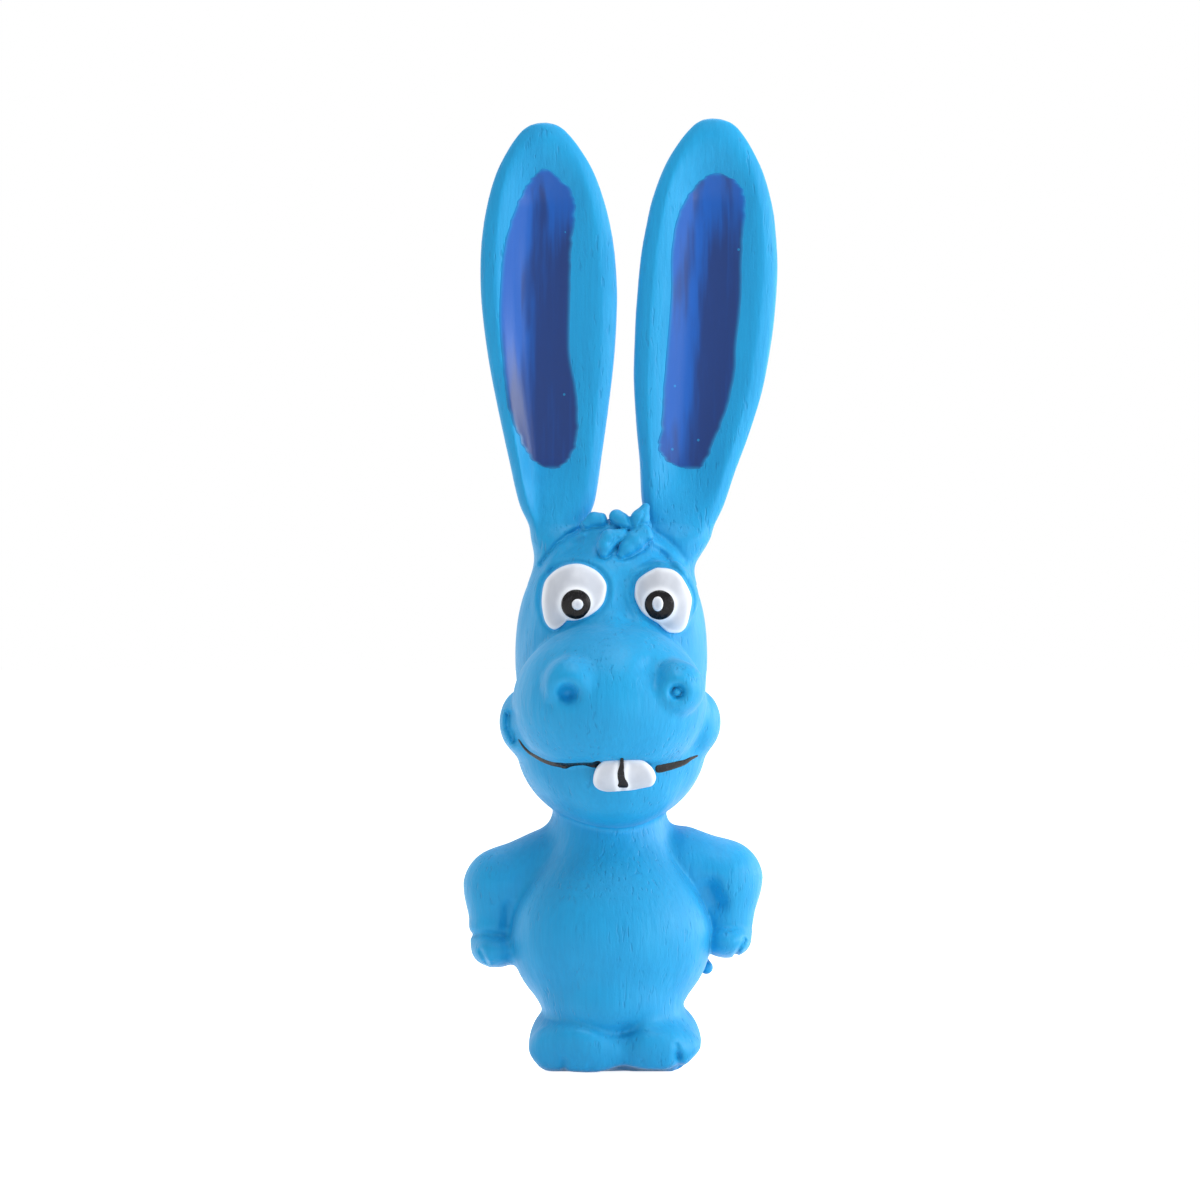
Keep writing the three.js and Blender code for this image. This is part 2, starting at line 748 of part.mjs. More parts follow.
// Eyes: white coat, pupil let into it and a white dot let into the pupil
const eyeLayer = cast(headForm, headGrid, seamGap + paintThickness).subtract(headGrown);
const eyes = { right: [rightEyeX, -1], left: [leftEyeX, 1] };
for (const [side, [x, outward]] of Object.entries(eyes)) {
  const pupilAt = [x - outward * pupilInward, eyeZ - pupilDrop];
  const column = (outline) => prism(outline, -muzzleHalfDepth * 2, -eyePaintBackY);
  const round = (radius) => column(roundOutline(pupilAt, radius));
  const egg = outlineOf(eyeOutlineShares, [x, eyeZ], [outward * eyeHalfWidth, eyeHalfHeight]);
  const white = column(outward > 0 ? egg : egg.reverse());
  const coat = mainBody(white.intersect(eyeLayer));
  add(`${side}_eye_white`, coat.subtract(round(pupilRadius + seamGap)), paintWhite);
  const pupil = round(pupilRadius).intersect(eyeLayer).subtract(round(eyeDotRadius + seamGap));
  add(`${side}_pupil`, pupil, paintBlack);
  add(`${side}_eye_dot`, round(eyeDotRadius).intersect(eyeLayer), paintWhite);
}

// Teeth: one pad on the jaw, tucked under the lip
const teethOutline = outlineOf(teethOutlineShares, [teethX, teethZ], [teethHalfWidth, teethHalfHeight]);
const teethLayer = cast(headForm, headGrid, seamGap + teethThickness).subtract(headGrown);
const teethFrontY = -jawForward - jawHalfDepth - teethThickness;
const teeth = prism([...teethOutline].reverse(), teethFrontY, -jawForward).intersect(teethLayer);
add("teeth", mainBody(teeth), paintWhite);

// Base disc, with a small vent beside its middle
const disc = upright(holeRadius - seamGap, 0, discThickness, [0, 0]);
const vent = upright(ventRadius, -cutOverrun, discThickness + cutOverrun, [ventOffset, 0], 12);
add("base_disc", disc.subtract(vent), latexBlue);

// Squeaker: front bulb, bellows fold and back bulb, with the reed in its collar
const frontRimY = bulbFrontY + bulbFrontLength;
const foldY = frontRimY + seamGap;
const foldEndY = foldY + foldLength;
const backRimY = foldEndY + seamGap;
const backEndY = backRimY + bulbBackLength;
const collarEndY = backEndY + collarLength;
const tubeEndY = collarEndY;
const domeShares = [[0, 0], [0.45, 0.04], [0.78, 0.22], [0.95, 0.5], [1, 0.8]];

const domeProfile = (radius, tipY, rimY) =>
  domeShares.map(([out, along]) => [radius * out, tipY + (rimY - tipY) * along]);

const bulbFront = turned([
  ...domeProfile(bulbRadius, bulbFrontY, frontRimY),
  [bulbRadius, frontRimY],
  [bulbRadius - bulbWall, frontRimY],
  ...domeProfile(bulbRadius - bulbWall, bulbFrontY + bulbWall, frontRimY).reverse(),
]);
add("bulb_front", bulbFront, bulbPlastic);

const foldRadius = bulbRadius - foldWall / 2;
const foldShares = [0, 0.25, 0.5, 0.75, 1];
const foldOuter = foldShares.map((share, i) => [
  foldRadius - (i % 2) * foldDepth,
  foldY + share * foldLength,
]);
const foldInner = foldOuter.map(([radius, y]) => [radius - foldWall, y]).reverse();
add("bulb_fold", turned([...foldOuter, ...foldInner, foldOuter[0]]), bulbPlastic);

const bore = tubeRadius + seamGap;
const backOuter = domeProfile(bulbRadius, backEndY, backRimY).filter(([radius]) => radius > collarRadius);
const backInner = domeProfile(bulbRadius - bulbWall, backEndY - bulbWall, backRimY).filter(
  ([radius]) => radius > bore,
);
const bulbBack = turned([
  [bulbRadius, backRimY],
  ...backOuter.reverse(),
  [collarRadius, backEndY],
  [collarRadius, collarEndY],
  [bore, collarEndY],
  [bore, backEndY - bulbWall],
  ...backInner,
  [bulbRadius - bulbWall, backRimY],
  [bulbRadius, backRimY],
]);
add("bulb_back", bulbBack, bulbPlastic);

const flangeY = collarEndY + seamGap;
const reedTube = turned([
  [tubeBore, tubeEndY - tubeLength],
  [tubeRadius, tubeEndY - tubeLength],
  [tubeRadius, flangeY],
  [flangeRadius, flangeY],
  [flangeRadius, flangeY + flangeThickness],
  [tubeBore, flangeY + flangeThickness],
  [tubeBore, tubeEndY - tubeLength],
]);
add("reed_tube", reedTube, reedPlastic);

const blockRadius = tubeBore - seamGap;
const blockStartY = tubeEndY - tubeLength + flangeThickness;
const blockTopZ = bellyZ - blockDrop;
const box = (halfWidth, startY, endY, bottomZ, topZ) => {
  const geometry = new THREE.BoxGeometry(halfWidth * 2, endY - startY, topZ - bottomZ);
  geometry.translate(-bodySideShift, (startY + endY) / 2, (bottomZ + topZ) / 2);
  return solidFrom(geometry);
};
const blockRod = turned([
  [0, blockStartY],
  [blockRadius, blockStartY],
  [blockRadius, blockStartY + blockLength],
  [0, blockStartY + blockLength],
]);
const channelEndY = blockStartY + blockLength - flangeThickness;
const channel = box(channelHalfWidth, blockStartY - cutOverrun, channelEndY, blockTopZ - channelDepth, bellyZ);
const reedBlock = blockRod.trimByPlane([0, 0, -1], -blockTopZ).subtract(channel);
add("reed_block", reedBlock, reedPlastic);

const reedZ = blockTopZ + seamGap;
const reedEndY = blockStartY + blockLength;
add("reed", box(reedHalfWidth, reedEndY - reedLength, reedEndY, reedZ, reedZ + reedThickness), reedPlastic);

// Fibre stuffing: two wads round the squeaker and one that fills the head
const pocketRadius = bulbRadius + seamGap;
const pocket = turned([
  ...domeProfile(pocketRadius, bulbFrontY - seamGap, frontRimY),
  [pocketRadius, backRimY],
  ...domeProfile(pocketRadius, backEndY + seamGap, backRimY)
    .filter(([radius]) => radius > collarRadius + seamGap)
    .reverse(),
  [collarRadius + seamGap, backEndY + seamGap],
  [collarRadius + seamGap, flangeY + flangeThickness + seamGap],
  [0, flangeY + flangeThickness + seamGap],
]);
const stuffing = cast(bodyForm, bodyInnerGrid, -wad)
  .trimByPlane([0, 0, 1], skinWall + seamGap)
  .trimByPlane([0, 0, -1], -neckTopZ)
  .subtract(pocket);
add("front_wad", stuffing.trimByPlane([0, -1, 0], -wadSplitY), fibre);
add("back_wad", stuffing.trimByPlane([0, 1, 0], wadSplitY + seamGap), fibre);

const headStuffing = cast(headForm, innerHeadGrid, -wad)
  .subtract(neckGrown)
  .subtract(earSeat(ears.right, wad + seamGap))
  .subtract(earSeat(ears.left, wad + seamGap));
add("head_wad", headStuffing, fibre);

export default toy;
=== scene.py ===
# A squeaky dog toy in the shape of a standing long-eared donkey: one slip-cast blue latex skin,
# navy paint in the ears, painted eyes, teeth and mouth, and a stuffed inside with a bulb squeaker.
# Objects are in metres; the forms below are worked out in millimetres. The toy faces -Y. Left and right
# are the animal's own, so its left side is at +X.
import json
import math

import bpy
import numpy as np
from bpy.props import FloatProperty, FloatVectorProperty, PointerProperty
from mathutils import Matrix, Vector

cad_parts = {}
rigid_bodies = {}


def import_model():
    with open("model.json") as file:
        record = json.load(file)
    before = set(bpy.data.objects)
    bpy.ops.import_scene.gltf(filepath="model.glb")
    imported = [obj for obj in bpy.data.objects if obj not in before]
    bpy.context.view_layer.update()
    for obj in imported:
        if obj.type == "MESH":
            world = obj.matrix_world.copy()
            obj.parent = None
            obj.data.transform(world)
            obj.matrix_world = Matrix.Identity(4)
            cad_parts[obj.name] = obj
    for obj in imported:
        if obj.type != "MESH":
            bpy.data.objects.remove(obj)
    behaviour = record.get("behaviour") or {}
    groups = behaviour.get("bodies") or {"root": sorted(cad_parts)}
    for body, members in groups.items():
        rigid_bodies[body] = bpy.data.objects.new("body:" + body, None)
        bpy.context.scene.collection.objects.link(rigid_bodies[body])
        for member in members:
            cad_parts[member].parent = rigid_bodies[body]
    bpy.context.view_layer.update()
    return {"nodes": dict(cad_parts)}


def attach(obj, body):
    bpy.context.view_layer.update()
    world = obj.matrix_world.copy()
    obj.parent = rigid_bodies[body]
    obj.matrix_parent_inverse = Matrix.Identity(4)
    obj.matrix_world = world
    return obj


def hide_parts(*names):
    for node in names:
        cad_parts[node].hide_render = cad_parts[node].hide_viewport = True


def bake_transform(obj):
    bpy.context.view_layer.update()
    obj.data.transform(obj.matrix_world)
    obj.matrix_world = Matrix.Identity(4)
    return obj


for leftover in list(bpy.data.objects):
    bpy.data.objects.remove(leftover)
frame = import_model()

bl_info = {
    "name": "Squeaky donkey toy",
    "version": (1, 0, 0),
    "blender": (4, 5, 0),
    "location": "3D View > Sidebar > Donkey toy",
    "description": "Latex skin, paint, stuffing and squeaker of a donkey dog toy",
    "category": "Add Mesh",
}

MM = 0.001


# Sizes and colours


def paint(red, green, blue):
    """A colour as a picture writes it, 0 to 255, as the linear values that light is mixed in."""
    values = np.array([red, green, blue]) / 255
    linear = np.where(values <= 0.04045, values / 12.92, ((values + 0.055) / 1.055) ** 2.4)
    return tuple(float(v) for v in linear)


def length_property(label, text, default):
    """A length in metres."""
    return FloatProperty(name=label, description=text, default=default, min=0, unit="LENGTH")


def colour_property(label, text, default):
    """A colour, given as a picture writes it."""
    return FloatVectorProperty(
        name=label, description=text, default=paint(*default), size=3, min=0, max=1, subtype="COLOR"
    )


def share_property(label, text, default):
    """A share from 0 to 1."""
    return FloatProperty(name=label, description=text, default=default, min=0, max=1, subtype="FACTOR")


class ToySizes(bpy.types.PropertyGroup):
    """Lengths of the toy"""

    grain: length_property("Grain", "Size of the cells that the skin is worked out in", 0.00055)
    wall: length_property("Wall", "Thickness of the latex", 0.0022)
    belly_width: length_property("Belly width", "Half the belly's width", 0.0232)
    belly_depth: length_property("Belly depth", "Half the belly's depth", 0.020)
    belly_height: length_property("Belly height", "Half the belly's height", 0.021)
    head_width: length_property("Head width", "Half the skull's width", 0.022)
    muzzle_width: length_property("Muzzle width", "Half the muzzle's width", 0.0223)
    muzzle_depth: length_property("Muzzle depth", "Half the muzzle's depth", 0.019)
    muzzle_height: length_property("Muzzle height", "Half the muzzle's height", 0.0185)
    right_ear: length_property("Right ear", "Length of the right ear from its hinge", 0.0966)
    left_ear: length_property("Left ear", "Length of the left ear from its hinge", 0.0979)
    ear_width: length_property("Ear width", "Half the ear's width at its widest", 0.0159)
    ear_thickness: length_property("Ear thickness", "Half the ear's thickness", 0.0044)
    hollow_depth: length_property("Ear hollow", "Depth of the hollow in the ear", 0.0052)
    coat: length_property("Paint coat", "How far the paint stands off the latex", 0.00035)
    tooth_coat: length_property("Teeth", "How far the teeth stand off the jaw", 0.0012)
    mouth_line: length_property("Mouth line", "Half the width of the painted mouth line", 0.0006)


class ToyColours(bpy.types.PropertyGroup):
    """Colours of the latex, the paints, the inside and the floor"""

    latex: colour_property("Latex", "Blue of the dyed latex", (22, 157, 214))
    # The darker blue: the latex's own streaks and patches, and a painted shade in its pressed-in strokes
    latex_shade: colour_property("Latex streaks", "Blue in the streaks and dips", (16, 128, 186))
    navy: colour_property("Navy", "Paint in the ears", (18, 54, 118))
    # The lighter navy: a painted light on the wall of each ear's hollow that faces the lamps, and in part
    # paint laid more thinly
    navy_lit_and_thin: colour_property("Thin navy", "Navy where the brush left it thin", (14, 88, 178))
    white: colour_property("White", "Paint of the eyes and the teeth", (190, 195, 205))
    # Brighter white near the edges: partly paint that lies thicker there, partly a painted highlight of
    # the light that the raised edge catches
    white_edge: colour_property("White edge", "Where the white is thick at its edge", (236, 240, 247))
    black: colour_property("Black", "Paint of the pupils and the mouth", (10, 9, 12))
    black_scuff: colour_property("Scuffed black", "Black where it is scuffed", (84, 80, 88))
    fibre: colour_property("Fibre", "Polyester stuffing", (226, 225, 218))
    # Painted shade: the stuffing's colour in the dips of its bump
    fibre_shade: colour_property("Fibre dips", "Stuffing in its dips", (186, 184, 176))
    bulb: colour_property("Bulb", "Vinyl of the squeaker", (216, 212, 198))
    reed: colour_property("Reed", "Plastic of the reed and its tube", (240, 240, 236))
    floor: colour_property("Floor", "Floor under the toy", (250, 250, 250))


class ToyFinish(bpy.types.PropertyGroup):
    """Roughness of the surfaces and strength of the light"""

    latex_roughness: share_property("Latex roughness", "Roughness of the bare latex", 0.5)
    paint_roughness: share_property("Paint roughness", "Roughness of the navy paint", 0.34)
    strokes: share_property("Strokes", "Depth of the fine upright strokes in the latex", 0.85)
    lamps: FloatProperty(name="Lamps", description="Watts of all the soft lamps", default=24.5, min=0)
    ambience: FloatProperty(name="Ambience", description="Strength of the world", default=0.5, min=0)


def sizes():
    """The toy's lengths."""
    return bpy.context.scene.toy_sizes


def colours():
    """The toy's colours."""
    return bpy.context.scene.toy_colours


def finish():
    """The toy's roughness and light."""
    return bpy.context.scene.toy_finish


# Shapes as fields: each gives the distance in millimetres from points to a form, less than zero
# inside it. x, y and z are arrays of the same length. FAR is farther than any form reaches.

FAR = 60.0


def egg(x, y, z, middle, half):
    """An ellipsoid: how many radii away a point is, times one less than that, over the share's slope."""
    u, v, w = (x - middle[0]) / half[0], (y - middle[1]) / half[1], (z - middle[2]) / half[2]
    near = np.sqrt(u * u + v * v + w * w)
    slope = np.sqrt((u / half[0]) ** 2 + (v / half[1]) ** 2 + (w / half[2]) ** 2)
    return near * (near - 1) / np.maximum(slope, 1e-6)


def limb(x, y, z, start, end, near_radius, far_radius):
    """A tapering round limb: distance to a segment, less the radius at the nearest share of it."""
    a, b = np.array(start, float), np.array(end, float)
    along = b - a
    px, py, pz = x - a[0], y - a[1], z - a[2]
    share = np.clip((px * along[0] + py * along[1] + pz * along[2]) / (along @ along), 0, 1)
    away = np.sqrt(
        (px - share * along[0]) ** 2 + (py - share * along[1]) ** 2 + (pz - share * along[2]) ** 2
    )
    return away - near_radius - share * (far_radius - near_radius)


def merge(a, b, soft):
    """The nearer of two forms, rounded over where they are within the soft distance of each other."""
    overlap = np.maximum(soft - np.abs(a - b), 0) / soft
    return np.minimum(a, b) - overlap * overlap * soft / 4


def keep(a, b, soft):
    """What two forms share, with the edge between them rounded."""
    return -merge(-a, -b, soft)


def step(value, low, high):
    """A smooth rise from 0 at low to 1 at high."""
    t = np.clip((value - low) / (high - low), 0, 1)
    return t * t * (3 - 2 * t)


def curve(table, places):
    """A smooth curve through a table of places and values: cubic, with the slopes between neighbours."""
    at, value = np.array(table, float).T
    slope = np.gradient(value, at)
    slope[1:-1] = (value[2:] - value[:-2]) / (at[2:] - at[:-2])
    places = np.clip(places, at[0], at[-1])
    i = np.clip(np.searchsorted(at, places, side="right") - 1, 0, len(at) - 2)
    span = at[i + 1] - at[i]
    t = (places - at[i]) / span
    a, b = 2 * t**3 - 3 * t**2 + 1, t**3 - 2 * t**2 + t
    c, d = 3 * t**2 - 2 * t**3, t**3 - t**2
    return a * value[i] + b * span * slope[i] + c * value[i + 1] + d * span * slope[i + 1]


def smooth_path(points, count, closed=False):
    """A curve through points, each stretch a cubic on its four nearest points."""
    p = np.asarray(points, float)
    n = len(p)
    t = np.linspace(0, n if closed else n - 1, count, endpoint=not closed)
    i = np.minimum(t.astype(int), n - 1 if closed else n - 2)
    u = (t - i)[:, None]

    def pick(k):
        """The points k places on from where each stretch starts: round a loop, or held at the ends."""
        return p[(i + k) % n] if closed else p[np.clip(i + k, 0, n - 1)]

    a, b, c, d = (pick(k) for k in (-1, 0, 1, 2))
    return 0.5 * (
        2 * b + (c - a) * u + (2 * a - 5 * b + 4 * c - d) * u**2 + (3 * b - a - 3 * c + d) * u**3
    )


def path_distance(x, z, points):
    """Distance in the front view from points to a line of points: the least over its segments."""
    best = np.full(x.shape, 1e9)
    for (ax, az), (bx, bz) in zip(points[:-1], points[1:]):
        dx, dz = bx - ax, bz - az
        share = np.clip(((x - ax) * dx + (z - az) * dz) / max(dx * dx + dz * dz, 1e-9), 0, 1)
        best = np.minimum(best, np.hypot(x - ax - share * dx, z - az - share * dz))
    return best


def mark(form, x, y, z, marks):
    """Presses lines into the front of a form, or raises them: a bell curve across each line. Only
    points within 6 mm of the form count, and a line fades over the last 2 mm before its back end."""
    for points, width, height, back in marks:
        line = np.array(points, float)
        low, high = line.min(0) - 3 * width, line.max(0) + 3 * width
        near = (x > low[0]) & (x < high[0]) & (z > low[1]) & (z < high[1]) & (y < back)
        near &= np.abs(form) < 6
        if near.any():
            away = path_distance(x[near], z[near], line)
            form[near] -= height * np.exp(-((away / width) ** 2)) * step(back - y[near], 0, 2)
    return form


# Body

# Middles of the body, the feet and the head in X, and the belly's in Y and Z. The squeaker's axis
# runs through the belly's middle.
BODY_X, FEET_X, HEAD_X = -0.5, 0.5, -0.4
BELLY_Y, BELLY_Z = -2, 31
# How far the middle of the tail stands off the hip
TAIL_STAND = 1.6
# Lines in the front view as points of X and Z, then width, height and how far back they reach
BODY_MARKS = [
    ([(-34, 31.2), (-29, 31.5), (-25, 31.0)], 0.7, -0.5, 6),
    ([(-32.5, 33.2), (-27, 33.4)], 1.2, 0.3, 6),
    ([(-30.6, 27.6), (-29.2, 25.0)], 0.5, -0.5, 6),
    ([(-28.9, 26.2), (-28.2, 24.4)], 0.6, 0.3, 6),
    ([(30.4, 30.2), (29.4, 28.6), (28.2, 26.6)], 0.5, -0.7, 6),
    ([(22.4, 42), (24.0, 38.8)], 2.4, -1.9, 2),
    ([(-24.3, 37.6), (-24.5, 34)], 1.6, -0.7, 4),
    ([(3.2, 8.4), (3.7, 5), (3.9, 1)], 2.8, -0.85, -6),
    ([(14.6, 6.2), (14.9, 3.6)], 0.7, -0.6, -4),
    ([(14.9, 3.8), (15.2, -1)], 1.1, -1.0, -4),
    ([(6.8, 2.5), (6.9, -1)], 0.8, -0.3, -8),
    ([(-11.4, 2.6), (-11.3, -1)], 0.8, -0.6, -6),
    ([(-5.2, 1.8), (-5.0, -1)], 0.8, -0.3, -8),
]
# How high the front edge of the sole stands off the floor, at places of X
SOLE_EDGE = [
    (-19, 2.2), (-17.4, 1.0), (-15.6, 0.35), (-12.4, 0.3), (-11.3, 0.8), (-10.2, 0.2), (-8, 0), (-4, 0),
    (-1.4, 0.5), (0.6, 1.2), (2.4, 1.6), (4.2, 1.3), (6.6, 0.8), (9, 0.7), (12.2, 0.7), (13.4, 1.1),
    (14.8, 1.5), (16.6, 1.2), (18.4, 1.5), (20, 2.6),
]
# Slanting planes that trim the feet, the front first, then the right corner and the two outer edges:
# slopes along X, Y and Z, how far out the plane lies, and how softly it cuts
FOOT_PLANES = [
    (0, -0.96, -0.26, 17.6, 3),
    (-0.45, -0.83, -0.34, 17.5, 4),
    (0.71, 0, -0.71, 10.792, 1.6),
    (-0.71, 0, -0.71, 11.502, 1.6),
]


def arm_form(x, y, z, side, shoulder_z, elbow_z, hand_x, hand_z):
    """Upper arm from inside the chest to the elbow, forearm down to the wrist, and the fist."""
    elbow = (side * 25.2, 4, elbow_z)
    wrist = (side * hand_x, 2, hand_z + 2.5)
    upper = limb(x, y, z, (side * 15.5, 3.5, shoulder_z), elbow, 9, 9)
    form = merge(upper, limb(x, y, z, elbow, wrist, 9, 6), 2)
    return merge(form, egg(x, y, z, (side * hand_x, 0, hand_z), (5.6, 7, 3.9)), 1.2)


def foot_form(x, y, z, side):
    """A tall heel and ankle at the side, a low instep in front, and the balls of the toes."""
    form = egg(x, y, z, (FEET_X + side * 9.8, -1, 6.5), (10, 13, 10.2))
    form = merge(form, egg(x, y, z, (FEET_X + side * 9.6, -7.5, 4.6), (9.7, 12.8, 8.2)), 3)
    form = merge(form, egg(x, y, z, (FEET_X + side * 7, -14, 4.3), (5.8, 6.4, 5.6)), 2.5)
    return merge(form, egg(x, y, z, (FEET_X + side * 15.2, -11, 4.5), (4.8, 5, 4.9)), 2)


def tail_path():
    """Round the left hip: an angle from the back, and a share of the belly's height, at each point."""
    angles = np.radians([5, 24, 44, 62, 73])
    heights = BELLY_Z * np.array([0.55, 0.68, 0.8, 0.82, 0.76])
    reach = np.linspace(2, 40, 400)
    points = []
    for angle, height in zip(angles, heights):
        x, y = BODY_X + np.sin(angle) * reach, BELLY_Y + np.cos(angle) * reach
        form = torso_form(x, y, np.full(reach.shape, height))
        out = np.interp(TAIL_STAND, form, reach)
        points.append((BODY_X + np.sin(angle) * out, BELLY_Y + np.cos(angle) * out, height))
    return points


def sole_lift(x, y):
    """How far the sole stands off the floor: the table above, in front only."""
    return curve(SOLE_EDGE, x) * step(-y, 9, 14)


def torso_form(x, y, z):
    """Belly, neck, hips and the round of the lower belly."""
    s = sizes()
    half = (s.belly_width / MM, s.belly_depth / MM, s.belly_height / MM)
    belly = egg(x, y, z, (BODY_X, BELLY_Y, BELLY_Z), half)
    neck = limb(x, y, z, (BODY_X, 1, 40), (-1, 2, 66), 16, 12.2)
    form = merge(merge(belly, neck, 6), limb(x, y, z, (0, -1, 17), (0, 2, 0), 14.5, 11), 4)
    return merge(form, egg(x, y, z, (-0.4, -6.2, 15.4), (14.4, 13.8, 8.7)), 5)


def body_form(x, y, z, tail):
    """Torso, arms, feet and tail. The arms melt into the chest above and part from the belly below."""
    form = torso_form(x, y, z)
    melt = 0.9 + 2.5 * step(z, 47, 57)
    form = merge(form, arm_form(x, y, z, -1, 46.5, 42, 27, 27.6), melt + 1.4)
    form = merge(form, arm_form(x, y, z, 1, 47.4, 43.8, 26.2, 29.8), melt)
    feet = merge(foot_form(x, y, z, -1), foot_form(x, y, z, 1), 3)
    feet = merge(feet, limb(x, y, z, (-9, -12.6, 4.8), (6, -12.2, 4.6), 6.1, 5.9), 2.5)
    for slope_x, slope_y, slope_z, far, soft in FOOT_PLANES:
        feet = keep(feet, slope_x * x + slope_y * y + slope_z * z - far, soft)
    form = merge(form, feet, 1.4 + 2.6 * step(x, 3, 9) * step(-y, 4, 9))
    for start, end in zip(tail[:-1], tail[1:]):
        form = merge(form, limb(x, y, z, start, end, 1.7, 1.6), 0.6)
    return mark(form, x, y, z, BODY_MARKS)


# Head

# Of each eye: the middle and the half sizes of its white, the middle of the dome behind it, the
# pupil's middle, the dot's place in the pupil with its radii, and the outline as shares of the sizes
EYES = {
    "right": {
        "middle": (-8.9, 109.2),
        "dome": (-8.7, -9.5, 109),
        "half": (7.3, 7.5),
        "pupil": (-8.5, 107.65),
        "dot": ((0.3, 0.0), (1.35, 1.35)),
        "outline": [
            (-1.02, -0.06), (-0.94, 0.43), (-0.71, 0.73), (-0.38, 0.94), (0.02, 1.03), (0.37, 0.97),
            (0.73, 0.78), (0.96, 0.5), (1.01, 0.26), (0.93, -0.11), (0.76, -0.35), (0.51, -0.54),
            (0.2, -0.67), (-0.03, -0.71), (-0.23, -0.71), (-0.38, -0.85), (-0.58, -0.98),
            (-0.76, -0.93), (-0.91, -0.74), (-0.99, -0.43),
        ],
    },
    "left": {
        "middle": (11.5, 108.5),
        "dome": (11.8, -9.5, 109),
        "half": (6.5, 7.47),
        "pupil": (10.7, 107.5),
        "dot": ((-0.3, 0.3), (1.3, 1.75)),
        "outline": [
            (-1, 0.17), (-0.94, 0.55), (-0.69, 0.78), (-0.31, 0.97), (-0.09, 1), (0.3, 0.95),
            (0.59, 0.78), (0.83, 0.46), (0.98, 0.15), (1, -0.08), (0.93, -0.42), (0.83, -0.76),
            (0.66, -0.95), (0.42, -1), (0.18, -0.97), (0.03, -0.88), (-0.16, -0.72), (-0.43, -0.57),
            (-0.67, -0.42), (-0.82, -0.25), (-0.94, -0.04),
        ],
    },
}
# Height of the muzzle's lower edge at places of X
LIP = [
    (-26, 84), (-23, 78.4), (-21.3, 75.8), (-18.7, 73.2), (-15.4, 71.3), (-10.9, 70.4), (-7.95, 70.9),
    (-3.4, 71), (2, 71.3), (6, 71), (10.2, 69.9), (13.8, 70.4), (17, 71.3), (19.9, 72.9), (22, 76),
    (25, 84),
]
# Lines of the brows, cheeks, nose, muzzle corner and hair, in the same order of values as the body's
HEAD_MARKS = [
    ([(-15.4, 116.2), (-14, 118.4), (-12.2, 120.6), (-9.9, 122.4), (-7, 123.6)], 1.0, 0.6, 3),
    ([(-16.4, 116.8), (-14.8, 119.2), (-13, 121.4), (-10.6, 123.4), (-7.4, 125)], 0.7, -0.9, 4),
    ([(8.9, 123), (11.2, 121.3), (13.4, 119.3), (15.1, 117.1), (16.2, 114.8)], 1.1, 0.5, 3),
    ([(8.3, 120.9), (11, 119.3), (13.2, 117)], 0.9, -0.4, 1),
    ([(9.8, 124.2), (12.4, 122.6), (14.8, 120.4), (16.6, 117.8)], 0.9, -0.4, 4),
    ([(-15.3, 86), (-15.4, 88.8), (-14.6, 91.4), (-12.6, 93.9), (-10.2, 95.2)], 0.9, 0.25, -8),
    ([(3.6, 113), (3.4, 108), (3.2, 104.5)], 2.4, -0.9, 0),
    ([(8.2, 93), (9.4, 90.8)], 2.8, -1.1, -10),
    ([(-23.8, 82.2), (-23.8, 79.3), (-22.6, 76.6)], 1.1, -1.5, -6),
    ([(0.9, 122.9), (-0.8, 121.6)], 0.4, -0.35, -4),
    ([(7.2, 128.8), (6, 125.8)], 0.4, -0.3, -2),
]
# Locks of the forelock: each a chain of places with the lock's radius there
LOCKS = [
    [((-2.6, -4.6, 127.1), 1.65), ((-4.4, -4.4, 127.2), 1.7), ((-6.3, -4.6, 126.1), 1.1)],
    [((4.4, -6.6, 124.4), 2.0), ((2.7, -5.9, 126.4), 2.0), ((0.8, -5.2, 127.8), 1.75)],
    [((6.0, -6.6, 124.8), 2.2), ((6.3, -6.4, 127.4), 2.2), ((7.5, -6.0, 130.0), 1.05)],
    [
        ((2.4, -7.6, 123.2), 1.9), ((-0.7, -8.0, 122.6), 2.3), ((-1.8, -8.7, 120.9), 2.0),
        ((-2.1, -9.4, 119.3), 1.1),
    ],
    [
        ((6.8, -7.0, 123.8), 2.3), ((4.9, -7.9, 122.2), 2.4), ((3.2, -8.8, 120.5), 1.9),
        ((1.9, -9.4, 119.0), 1.0),
    ],
]
JAW = ((HEAD_X, -4, 76), (22, 20, 20))
# Round forms: middle, half sizes, and how softly each melts in. Jaw, chin, right and left cheek:
HEAD_ROUNDS = [
    (*JAW, 6),
    ((HEAD_X + 0.8, -13, 66.6), (13, 9.5, 10), 4),
    ((HEAD_X - 19.4, -8, 80.5), (6.4, 8, 8), 2.2),
    ((HEAD_X + 18.9, -8, 80.5), (6.3, 8, 7.8), 2.2),
]
# The mounds of the right and the left nostril, their pits, and a lump in the left pit
NOSTRIL_MOUNDS = [
    ((-9.2, -27.9, 89.5), (6.7, 6.6, 6.4), 1.3),
    ((14.3, -26.0, 88.4), (6.7, 6.9, 6.6), 1.3),
]
NOSTRIL_PITS = [
    ((-10.5, -34.6, 87.2), (2.6, 5.2, 2.3), 2.6),
    ((14.7, -33.7, 87.5), (2.0, 4.2, 2.0), 1.9),
]
NOSTRIL_LUMP = ((14.6, -30.5, 87.6), (1.0, 1.0, 1.0), 0.4)


def rim(outline, half, count=128):
    """An outline as its angle and radius about the middle, from a smooth loop through its shares."""
    loop = smooth_path(np.array(outline) * half, count, closed=True)
    angle = np.arctan2(loop[:, 1], loop[:, 0])
    order = np.argsort(angle)
    return angle[order], np.hypot(*loop.T)[order]


